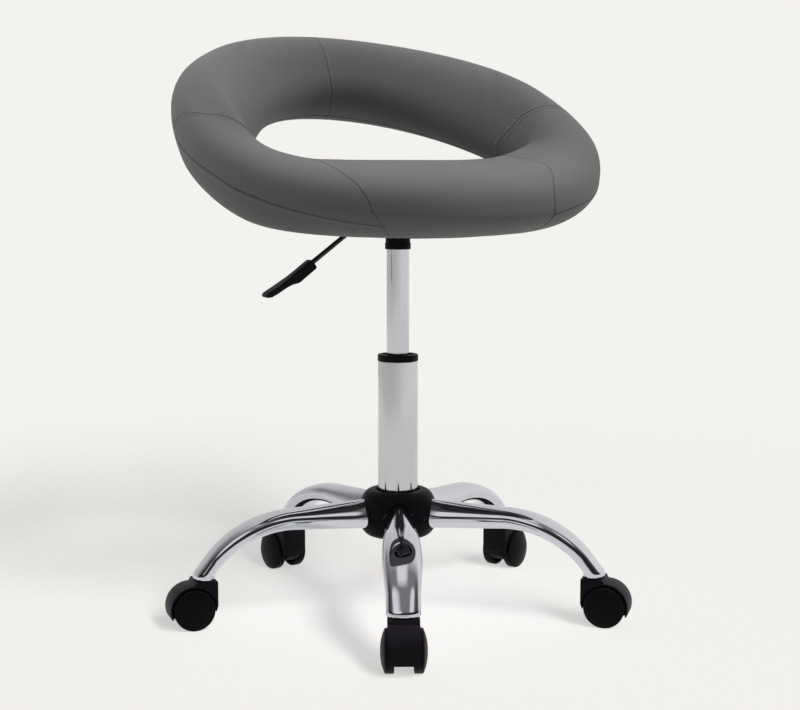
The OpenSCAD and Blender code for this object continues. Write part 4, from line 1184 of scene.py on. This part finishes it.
class ChairColumn(bpy.types.Operator):
    """Turn the column, cut its flutes and set the cap ring in its mouth"""
    bl_idname = "chair.column"
    bl_label = "Column"

    def execute(self, context):
        lift, base = context.scene.chair_lift, context.scene.chair_base
        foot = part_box("column_tube")[0].z
        wall, taper = 2 * MM, 1.5 * MM
        bore, taper_top = lift.column_r - wall, lift.cover_top - 2 * MM
        rim = lift.column_top - lift.cap_h
        column = turned("column", eased(
            [(bore - taper, foot), (lift.column_r - taper, foot), (lift.column_r, taper_top), (lift.column_r, rim),
             (bore, rim), (bore, taper_top)], [0, 0.3 * MM, 0, 0.5 * MM, 0, 0]), steps=120)
        self.cut_flutes(column, lift, base)
        finish_piece(column, "base", "tube", ["column_tube"])
        inner, outer = lift.lift_r + 0.5 * MM, lift.column_r + 0.3 * MM
        dish = lift.column_top - 1.6 * MM
        cap = turned("column_cap_ring", eased(
            [(inner, rim), (outer, rim), (outer, lift.column_top), (lift.column_r - 4.2 * MM, lift.column_top),
             (lift.column_r - 6 * MM, dish), (inner, dish)],
            [0, 0.3 * MM, 1.4 * MM, 0.7 * MM, 0.5 * MM, 0.5 * MM]), steps=120)
        finish_piece(cap, "base", "plastic", ["column_cap"])
        return {"FINISHED"}

    def cut_flutes(self, column, lift, base):
        """Cuts narrow wedges into the column's foot, deep and wide below and running out above."""
        low, high = lift.cover_top - 4 * MM, lift.cover_top + lift.flute_h
        outside = lift.column_r + 1 * MM
        cutters = []
        for i in range(lift.flutes):
            angle = base.base_turn - math.pi / 2 + 2 * math.pi * i / lift.flutes
            rings = []
            # Half width and depth of the flute at three heights; its flanks draw together inwards
            for z, half_w, depth in ((low, 1.45 * MM, 1.3 * MM), (high - 3 * MM, 0.85 * MM, 1.1 * MM),
                                     (high, 0.3 * MM, 0.1 * MM)):
                bottom = lift.column_r - depth
                section = [(outside, -half_w * 1.3), (outside, half_w * 1.3), (bottom, half_w * 0.35),
                           (bottom, -half_w * 0.35)]
                rings.append([Matrix.Rotation(angle, 3, "Z") @ Vector((x, y, z)) for x, y in section])
            cutters.append(drawn_out("flute", rings))
        cut_with(column, joined("flutes", cutters))


# Steps of the hub cover's profile from its seam to its mouth
COVER_STEPS = 14
# Radii between which the cutters of its openings for the legs run
OPENING_RUN = (0.028, 0.07)


def cover_outline(lift, inset, upper):
    """Outer profile of half of the hub cover, from its seam to its mouth or its lower opening."""
    mouth = lift.column_r + 2 * lift.cover_wall
    radius = lift.cover_r - inset
    # Height from the seam, and powers that make the profile fuller across and up than a quarter of an ellipse
    if upper:
        rise, across, up = lift.cover_top - inset - lift.cover_seam, 0.7, 1.15
    else:
        rise, across, up = lift.cover_foot + inset - lift.cover_seam, 0.75, 1.1
    angles = [math.pi / 2 * i / COVER_STEPS for i in range(COVER_STEPS + 1)]
    return [(mouth + (radius - mouth) * math.cos(angle) ** across, lift.cover_seam + rise * math.sin(angle) ** up)
            for angle in angles]


class ChairHubCover(bpy.types.Operator):
    """Turn both halves of the hub cover and cut the openings that the legs pass"""
    bl_idname = "chair.hub_cover"
    bl_label = "Hub cover"

    def execute(self, context):
        lift, base = context.scene.chair_lift, context.scene.chair_base
        for name, upper, mouth in (("upper", True, lift.mouth_r), ("lower", False, lift.column_r + 0.3 * MM)):
            outer, inner = cover_outline(lift, 0, upper), cover_outline(lift, lift.cover_wall, upper)
            side = 1 if upper else -1
            # The halves stand 0.7 mm apart, with an eased edge on either side of the gap
            seam = lift.cover_seam + side * 0.35 * MM
            outer[0] = (outer[0][0] - 0.45 * MM, seam)
            outer[1:1] = [(outer[0][0] + 0.35 * MM, seam + side * 0.25 * MM)]
            inner[0] = (inner[0][0], seam)
            top = outer[-1][1]
            under = inner[-1][1] - side * 2 * MM
            # The lip round the mouth rolls over and runs 2 mm down inside
            lip = [(mouth + 1.4 * MM, top), (mouth + 0.4 * MM, top - side * 0.45 * MM),
                   (mouth, top - side * 1.5 * MM), (mouth, under), (mouth + lift.cover_wall, under),
                   (mouth + lift.cover_wall, inner[-1][1])]
            shell = turned(f"hub_shell_{name}", outer + lip + inner[::-1][1:], steps=150)
            self.cut_openings(shell, lift, base)
            finish_piece(shell, "base", "plastic", [f"hub_cover_{name}"], smooth=40)
        return {"FINISHED"}

    def cut_openings(self, shell, lift, base):
        """Cuts an opening for each leg, of the leg's own section 3 mm inside the cover and a gap round it."""
        gap = 0.7 * MM
        share_in = (lift.cover_r - 3 * MM - HUB_R) / (leg_straight_end(base) - HUB_R)
        half_w, half_h, low, root = leg_shape(base, share_in, 0.0)
        section = leg_section(half_w + gap, half_h + gap, low, root)
        rings = [[Vector((x, across, base.leg_z + up)) for across, up in section] for x in OPENING_RUN]
        cutter = drawn_out("opening", rings)
        cutters = [copied(cutter, "opening", leg_place(base, k)) for k in LEGS]
        bpy.data.objects.remove(cutter)
        cut_with(shell, joined("openings", cutters))
        rounded(shell, 0.7 * MM, 3, 50)


# Lever

# Distance of the lever's cross pin from the column's axis
PIN_X = 0.026
# Side outline of the grip: share out along it, and share of its thickness up from the rod's axis
GRIP_SIDE = ((0, -0.4), (0, 0.26), (0.035, 0.36), (0.47, 0.25), (0.7, 0.27), (0.9, 0.34), (0.945, 0.31), (0.965, 0.2),
             (0.955, 0.04), (0.9, -0.1), (0.79, -0.17), (0.61, -0.22), (0.5, -0.34), (0.4, -0.55), (0.36, -0.58),
             (0.02, -0.5))
# Half outline of the grip from above
GRIP_PLAN = ((0, 0.27), (0.02, 0.33), (0.3, 0.34), (0.45, 0.4), (0.62, 0.48), (0.8, 0.5), (0.92, 0.46),
             (0.98, 0.34), (1, 0.15))


class ChairLever(bpy.types.Operator):
    """Bend the lever's rod and mould its grip"""
    bl_idname = "chair.lever"
    bl_label = "Lever"

    def execute(self, context):
        lift = context.scene.chair_lift
        rod = drawn_out("lever_bar", self.rod_rings(lift))
        half = [(0, 7.5 * MM), (1.3 * MM, 7.5 * MM), (1.5 * MM, 7.3 * MM)]
        pin = turned("lever_pin", [(r, -h) for r, h in half] + half[::-1], (-PIN_X, 0, lift.lever_z), (0, 1, 0), 24,
                     closed=False)
        finish_piece(joined("lever_bar", [rod, pin]), "lever", "powder", ["lever_rod"])
        finish_piece(self.grip(lift), "lever", "hood", ["lever_handle"], smooth=40)
        return {"FINISHED"}

    def rod_rings(self, lift):
        """Rings of the rod from its eased inner end, through its bend, to its end inside the grip."""
        count = 24

        def ring(x, z, a, r=lift.lever_r):
            return [Vector((x - r * math.cos(w) * math.sin(a), r * math.sin(w), z + r * math.cos(w) * math.cos(a)))
                    for w in (2 * math.pi * j / count for j in range(count))]

        run = lift.bend_r * math.tan(lift.bend_a / 2)
        rings = [ring(0.6 * MM, lift.lever_z, 0, lift.lever_r * 0.8), ring(0, lift.lever_z, 0)]
        bends = 14
        for i in range(bends + 1):
            a = lift.bend_a * i / bends
            rings.append(ring(run - lift.bend_x - lift.bend_r * math.sin(a),
                              lift.lever_z - lift.bend_r * (1 - math.cos(a)), a))
        rings.append(ring(-lift.bend_x - lift.drop_l * math.cos(lift.bend_a),
                          lift.lever_z - lift.drop_l * math.sin(lift.bend_a), lift.bend_a))
        return rings

    def grip(self, lift):
        """Crosses the grip's side outline with its outline from above, and rounds what is left."""
        side = [(x * lift.grip_l, z * lift.grip_h) for x, z in GRIP_SIDE]
        plan = [(x * lift.grip_l, y * lift.grip_w) for x, y in GRIP_PLAN]
        plan += [(x, -y) for x, y in reversed(plan)]
        grip = drawn_out("lever_grip", [[Vector((x, y, z)) for x, z in side] for y in (-lift.grip_w, lift.grip_w)])
        above = 20 * MM
        cutter = drawn_out("plan", [[Vector((x, y, z)) for x, y in plan] for z in (-above, above)])
        cut_with(grip, cutter, "INTERSECT")
        rounded(grip, 1.1 * MM, 4, 28)
        # The rod's end lies 22 mm inside the grip, which droops a little from it
        inside, droop = 22 * MM, math.radians(-2)
        place = (Matrix.Translation((-lift.bend_x, 0, lift.lever_z)) @ Matrix.Rotation(-lift.bend_a, 4, "Y")
                 @ Matrix.Scale(-1, 4, (1, 0, 0)) @ Matrix.Translation((lift.drop_l - inside, 0, 0))
                 @ Matrix.Rotation(droop, 4, "Y"))
        grip.data.transform(place)
        return tidy_normals(grip)


# Casters


class ChairCasters(bpy.types.Operator):
    """Mould the caster hoods and turn the wheels, once, and set five of each under the legs"""
    bl_idname = "chair.casters"
    bl_label = "Casters"

    def execute(self, context):
        base = context.scene.chair_base
        hood = self.hood(base)
        wheel = self.wheel(base)
        for k in LEGS:
            place = leg_place(base, k) @ Matrix.Translation((base.stem_circle, 0, 0))
            finish_piece(copied(hood, f"caster_hood_{k}", place), f"caster_{k}", "hood",
                         [f"caster_housing_{k}"], smooth=40)
            for side, turned_by in (("left", 0), ("right", math.pi)):
                out = base.wheel_gap / 2 * (1 if side == "left" else -1)
                at = place @ Matrix.Translation((base.trail, out, base.wheel_r)) @ Matrix.Rotation(turned_by, 4, "Z")
                finish_piece(copied(wheel, f"{side}_wheel_shell_{k}", at), f"{side}_wheel_{k}",
                             "nylon", [f"wheel_{side}_{k}"], smooth=40)
        bpy.data.objects.remove(hood)
        bpy.data.objects.remove(wheel)
        return {"FINISHED"}

    def wheel(self, base):
        """A wheel with its inner face at Y = 0 and its domed disc outside."""
        r, w = base.wheel_r, base.wheel_w
        # The hub round the axle, the hollow behind the disc, the rim's inner side and tread, then the domed disc
        bore, dome = 3.05 * MM, 5.2 * MM
        shares = (0.9, 0.74, 0.56, 0.38, 0.2)
        profile = eased(
            [(bore, 0), (6.5 * MM, 0), (6.5 * MM, w - 3.4 * MM), (0.56 * r, w - 4.4 * MM),
             (r - 3.2 * MM, w - dome - 2 * MM), (r - 3.2 * MM, 0), (r, 0), (r, w - dome)]
            + [(r * s, w - dome * s ** 2.3) for s in shares]
            + [(0.2 * MM, w), (0.2 * MM, w - 3 * MM), (bore, w - 3 * MM)],
            [0, 0.5 * MM, 0, 0, 0, 0.5 * MM, 1.8 * MM, 2.2 * MM] + [3 * MM] * len(shares) + [0, 0, 0])
        return turned("wheel", profile, (0, 0, 0), (0, 1, 0), 72)

    def hood(self, base):
        """A hood over both wheels, with the web between them and the flat platform under the leg."""
        r = base.wheel_r + 4 * MM
        # The arc over the wheels, from 20 degrees under the axle to just short of upright; then the flat platform,
        # the back of the stem's post and the lower edge
        start, sweep, steps = -20, 108, 30
        angles = [math.radians(start + sweep * i / steps) for i in range(steps + 1)]
        outline = [(base.trail + r * math.cos(angle), base.wheel_r + r * math.sin(angle)) for angle in angles]
        outline += eased([(0.0150, base.wheel_r + r + 0.2 * MM), (0.0125, base.caster_top), (-0.014, base.caster_top),
                          (-0.014, 0.028), (-0.011, 0.019), (-0.003, 0.0125), (0.034, 0.0135)],
                         [1.5 * MM, 1.2 * MM, 1.6 * MM, 5 * MM, 4 * MM, 3 * MM, 1 * MM])
        half_w, web = base.hood_w / 2, base.wheel_gap / 2 - 0.5 * MM
        hood = drawn_out("hood", [[Vector((x, y, z)) for x, z in outline] for y in (-half_w, half_w)])
        lane_r, lane_w = base.wheel_r + 2 * MM, 20 * MM
        for side in (-1, 1):
            lane = turned("lane", [(0, 0), (lane_r, 0), (lane_r, lane_w), (0, lane_w)],
                          (base.trail, side * web, base.wheel_r), (0, side, 0), 96, closed=False)
            cut_with(hood, lane)
        rounded(hood, 1.3 * MM, 3, 35)
        return hood


# Stage


def softbox(name, place, aim, size, power):
    """A square studio lamp that points at a place."""
    clear_selection()
    bpy.ops.object.light_add(type="AREA", location=place)
    holder = bpy.context.object
    holder.name = holder.data.name = name
    holder.data.size = size
    holder.data.energy = power
    holder.rotation_euler = (Vector(aim) - Vector(place)).to_track_quat("-Z", "Y").to_euler()
    return holder


def light_only(lamp, floor, state):
    """Links a lamp to the floor alone, or to everything but the floor."""
    receivers = bpy.data.collections.new(f"{lamp.name}_receivers")
    receivers.objects.link(floor)
    receivers.collection_objects[0].light_linking.link_state = state
    lamp.light_linking.receiver_collection = receivers


class ChairStage(bpy.types.Operator):
    """Set the pale floor, the soft lamps and the camera"""
    bl_idname = "chair.stage"
    bl_label = "Studio"

    def execute(self, context):
        ground = context.scene.chair_finishes.ground
        floor = self.floor(ground)
        self.world(context, ground)
        for lamp in (softbox("overhead", (0, 0, 9), (0, 0, 0), 10, 690),
                     softbox("rear", (3.2, 6.3, 6.5), (0, 0, 0.4), 5, 40),
                     softbox("left", (-6.2, 3.2, 3.0), (0, 0, 0.4), 3.4, 255),
                     softbox("right", (5.0, -2.5, 6.0), (0, 0, 0.4), 3.4, 305)):
            # Polished metal sees the world's own studio in place of the lamps
            lamp.visible_glossy = False
            light_only(lamp, floor, "EXCLUDE")
        # The photograph's floor shows the shadow of a single lamp, in front on the right
        light_only(self.key(), floor, "INCLUDE")
        self.camera(context)
        context.scene.view_settings.view_transform = "Standard"
        return {"FINISHED"}

    def key(self):
        """A tall soft lamp far off, from 15 to 54 degrees over the floor, its top leant to the right."""
        key = softbox("key", (3.23, -32.36, 23.29), (0, 0, 0), 7, 9500)
        key.data.shape = "RECTANGLE"
        key.data.size_y = 35
        key.rotation_euler.rotate_axis("Z", math.radians(-32))
        return key

    def floor(self, ground):
        """A painted floor: lit where the chair stands, and of the backdrop's even tone further off."""
        clear_selection()
        bpy.ops.mesh.primitive_plane_add(size=6)
        floor = bpy.context.object
        floor.name = "studio_floor"
        material = bpy.data.materials.new("Pale painted floor")
        material.use_nodes = True
        tree = material.node_tree
        tree.nodes.clear()
        paint = add_node(tree, "BsdfDiffuse", {"Color": rgba(ground)})
        even = add_node(tree, "Emission", {"Color": rgba(ground, 0.625)})
        lit = add_node(tree, "AddShader", {0: paint, 1: even})
        glow = add_node(tree, "Emission", {"Color": rgba(ground)})
        place = add_node(tree, "TexCoord")
        distance = add_node(tree, "VectorMath", {0: place.outputs["Object"]}, operation="LENGTH")
        far = add_node(tree, "MapRange", {"Value": distance.outputs["Value"], "From Min": 0.75, "From Max": 1.9},
                       interpolation_type="SMOOTHSTEP")
        mix = add_node(tree, "MixShader", {0: far, 1: lit, 2: glow})
        # Painted shadow in the floor's glow for the chair's underside: little from under the seat, more from round it
        shade = add_node(tree, "MapRange", {"Value": distance.outputs["Value"], "From Min": 0.2, "From Max": 0.65,
                                            "To Min": 0.06, "To Max": 0.72}, interpolation_type="SMOOTHSTEP")
        dull = add_node(tree, "Emission", {"Color": rgba(ground), "Strength": shade})
        path = add_node(tree, "LightPath")
        seen = add_node(tree, "MixShader", {0: path.outputs["Is Diffuse Ray"], 1: mix, 2: dull})
        add_node(tree, "OutputMaterial", {"Surface": seen})
        floor.data.materials.append(material)
        return floor

    def world(self, context, ground):
        """The backdrop for the camera, a studio room for polished metal, and a little even light."""
        world = bpy.data.worlds.new("Studio")
        context.scene.world = world
        world.use_nodes = True
        tree = world.node_tree
        tree.nodes.clear()
        heading = add_node(tree, "TexCoord").outputs["Generated"]
        # How far to the right of the picture a direction points, and how far toward the camera
        across, toward = (
            add_node(tree, "VectorMath", {0: heading, 1: axis}, operation="DOT_PRODUCT").outputs["Value"]
            for axis in ((0.891, -0.454, 0.0), (-0.454, -0.891, 0.0)))
        height = add_node(tree, "SeparateXYZ", {"Vector": heading}).outputs["Z"]
        # Where a direction passes from 0 to 1 on its way across, toward the camera or up
        rightward, leftward, beside, near, upward, above, overhead, over = (
            add_node(tree, "MapRange", {"Value": value, "From Min": start, "From Max": end})
            for value, start, end in ((across, -0.45, 0.75), (across, -0.35, -0.6), (toward, -0.78, -0.45),
                                      (toward, -0.30, 0.05), (height, 0.18, 0.5), (height, 0.05, 0.16),
                                      (height, 0.5, 0.9), (height, 0.92, 0.97)))
        # Polished metal sees a backdrop brighter on the right, and grey high up on the left
        backdrop = add_node(tree, "Mix", {0: rightward, 6: rgba(ground, 0.76), 7: rgba(ground, 1.08)},
                            data_type="RGBA")
        corner = beside
        for reach in (leftward, upward):
            corner = add_node(tree, "Math", {0: corner, 1: reach}, operation="MULTIPLY")
        walls = add_node(tree, "Mix", {0: corner, 6: backdrop.outputs[2], 7: rgba(ground, 0.33)}, data_type="RGBA")
        # Behind the camera the room is dark above the floor and grey overhead
        dim = add_node(tree, "Math", {0: near, 1: above}, operation="MULTIPLY")
        dark = add_node(tree, "Mix", {0: overhead, 6: rgba(ground, 0.03), 7: rgba(ground, 0.30)}, data_type="RGBA")
        room = add_node(tree, "Mix", {0: dim, 6: walls.outputs[2], 7: dark.outputs[2]}, data_type="RGBA")
        # A strip lamp over the chair, and a soft lamp in front on either side, the left one larger
        sideways = add_node(tree, "Math", {0: across}, operation="ABSOLUTE")
        strip = add_node(tree, "MapRange", {"Value": sideways, "From Min": 0.2, "From Max": 0.1})
        lit = add_node(tree, "Math", {0: strip, 1: over}, operation="MULTIPLY")
        for place, edge, full in (((-0.584, -0.376, 0.72), 0.935, 0.97), ((0.196, -0.605, 0.77), 0.975, 0.992)):
            facing = add_node(tree, "VectorMath", {0: heading, 1: place}, operation="DOT_PRODUCT")
            lamp = add_node(tree, "MapRange", {"Value": facing.outputs["Value"], "From Min": edge, "From Max": full})
            lit = add_node(tree, "Math", {0: lit, 1: lamp}, operation="MAXIMUM")
        studio = add_node(tree, "Mix", {0: lit, 6: room.outputs[2], 7: rgba(ground, 1.08)}, data_type="RGBA")
        # The camera sees the plain backdrop, polished metal the studio, and everything else a little even light
        path = add_node(tree, "LightPath")
        shown = add_node(tree, "Mix", {0: path.outputs["Is Camera Ray"], 6: studio.outputs[2], 7: rgba(ground)},
                         data_type="RGBA")
        plain = path.outputs["Is Camera Ray"]
        for ray in ("Is Glossy Ray", "Is Transmission Ray"):
            plain = add_node(tree, "Math", {0: plain, 1: path.outputs[ray]}, operation="MAXIMUM")
        backing = add_node(tree, "Background", {"Color": shown.outputs[2]})
        light = add_node(tree, "Background", {"Color": rgba(linear("#F2F3F6")), "Strength": 0.045})
        mix = add_node(tree, "MixShader", {0: plain, 1: light, 2: backing})
        add_node(tree, "OutputWorld", {"Surface": mix})

    def camera(self, context):
        """A long lens at the photograph's angle: as high as the sitting pad, and looking a little down."""
        lens = bpy.data.cameras.new("photograph_view")
        lens.lens = 70.67
        lens.sensor_width = 36
        camera = bpy.data.objects.new("photograph_view", lens)
        camera.location = (-0.8807, -1.7342, 0.5436)
        camera.rotation_euler = (math.radians(83.505), 0, math.radians(-27))
        context.scene.collection.objects.link(camera)
        context.scene.camera = camera


class ChairPanel(bpy.types.Panel):
    """Lists the chair's pieces, sizes and colours"""
    bl_idname = "VIEW3D_PT_chair"
    bl_label = "Rolling work chair"
    bl_space_type = "VIEW_3D"
    bl_region_type = "UI"
    bl_category = "Chair"

    def draw(self, context):
        layout = self.layout
        for group in GROUPS:
            box = layout.box()
            values = getattr(context.scene, group)
            for key in values.__annotations__:
                box.prop(values, key)
        for step in STEPS:
            layout.operator(step.bl_idname)


STEPS = (ChairFrameFinishes, ChairCushion, ChairStitching, ChairLift, ChairColumn, ChairHubCover, ChairLegs,
         ChairLever, ChairCasters, ChairStage)
GROUPS = {"chair_ring": RingSizes, "chair_lift": LiftSizes, "chair_base": BaseSizes,
          "chair_finishes": ChairFinishes}


def register():
    for item in (*GROUPS.values(), *STEPS, ChairPanel):
        bpy.utils.register_class(item)
    for name, group in GROUPS.items():
        setattr(bpy.types.Scene, name, PointerProperty(type=group))


def unregister():
    for name in GROUPS:
        delattr(bpy.types.Scene, name)
    for item in reversed((*GROUPS.values(), *STEPS, ChairPanel)):
        bpy.utils.unregister_class(item)


def main():
    register()
    make_materials()
    for step in STEPS:
        group, name = step.bl_idname.split(".")
        getattr(getattr(bpy.ops, group), name)()
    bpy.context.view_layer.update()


if __name__ == "__main__":
    main()
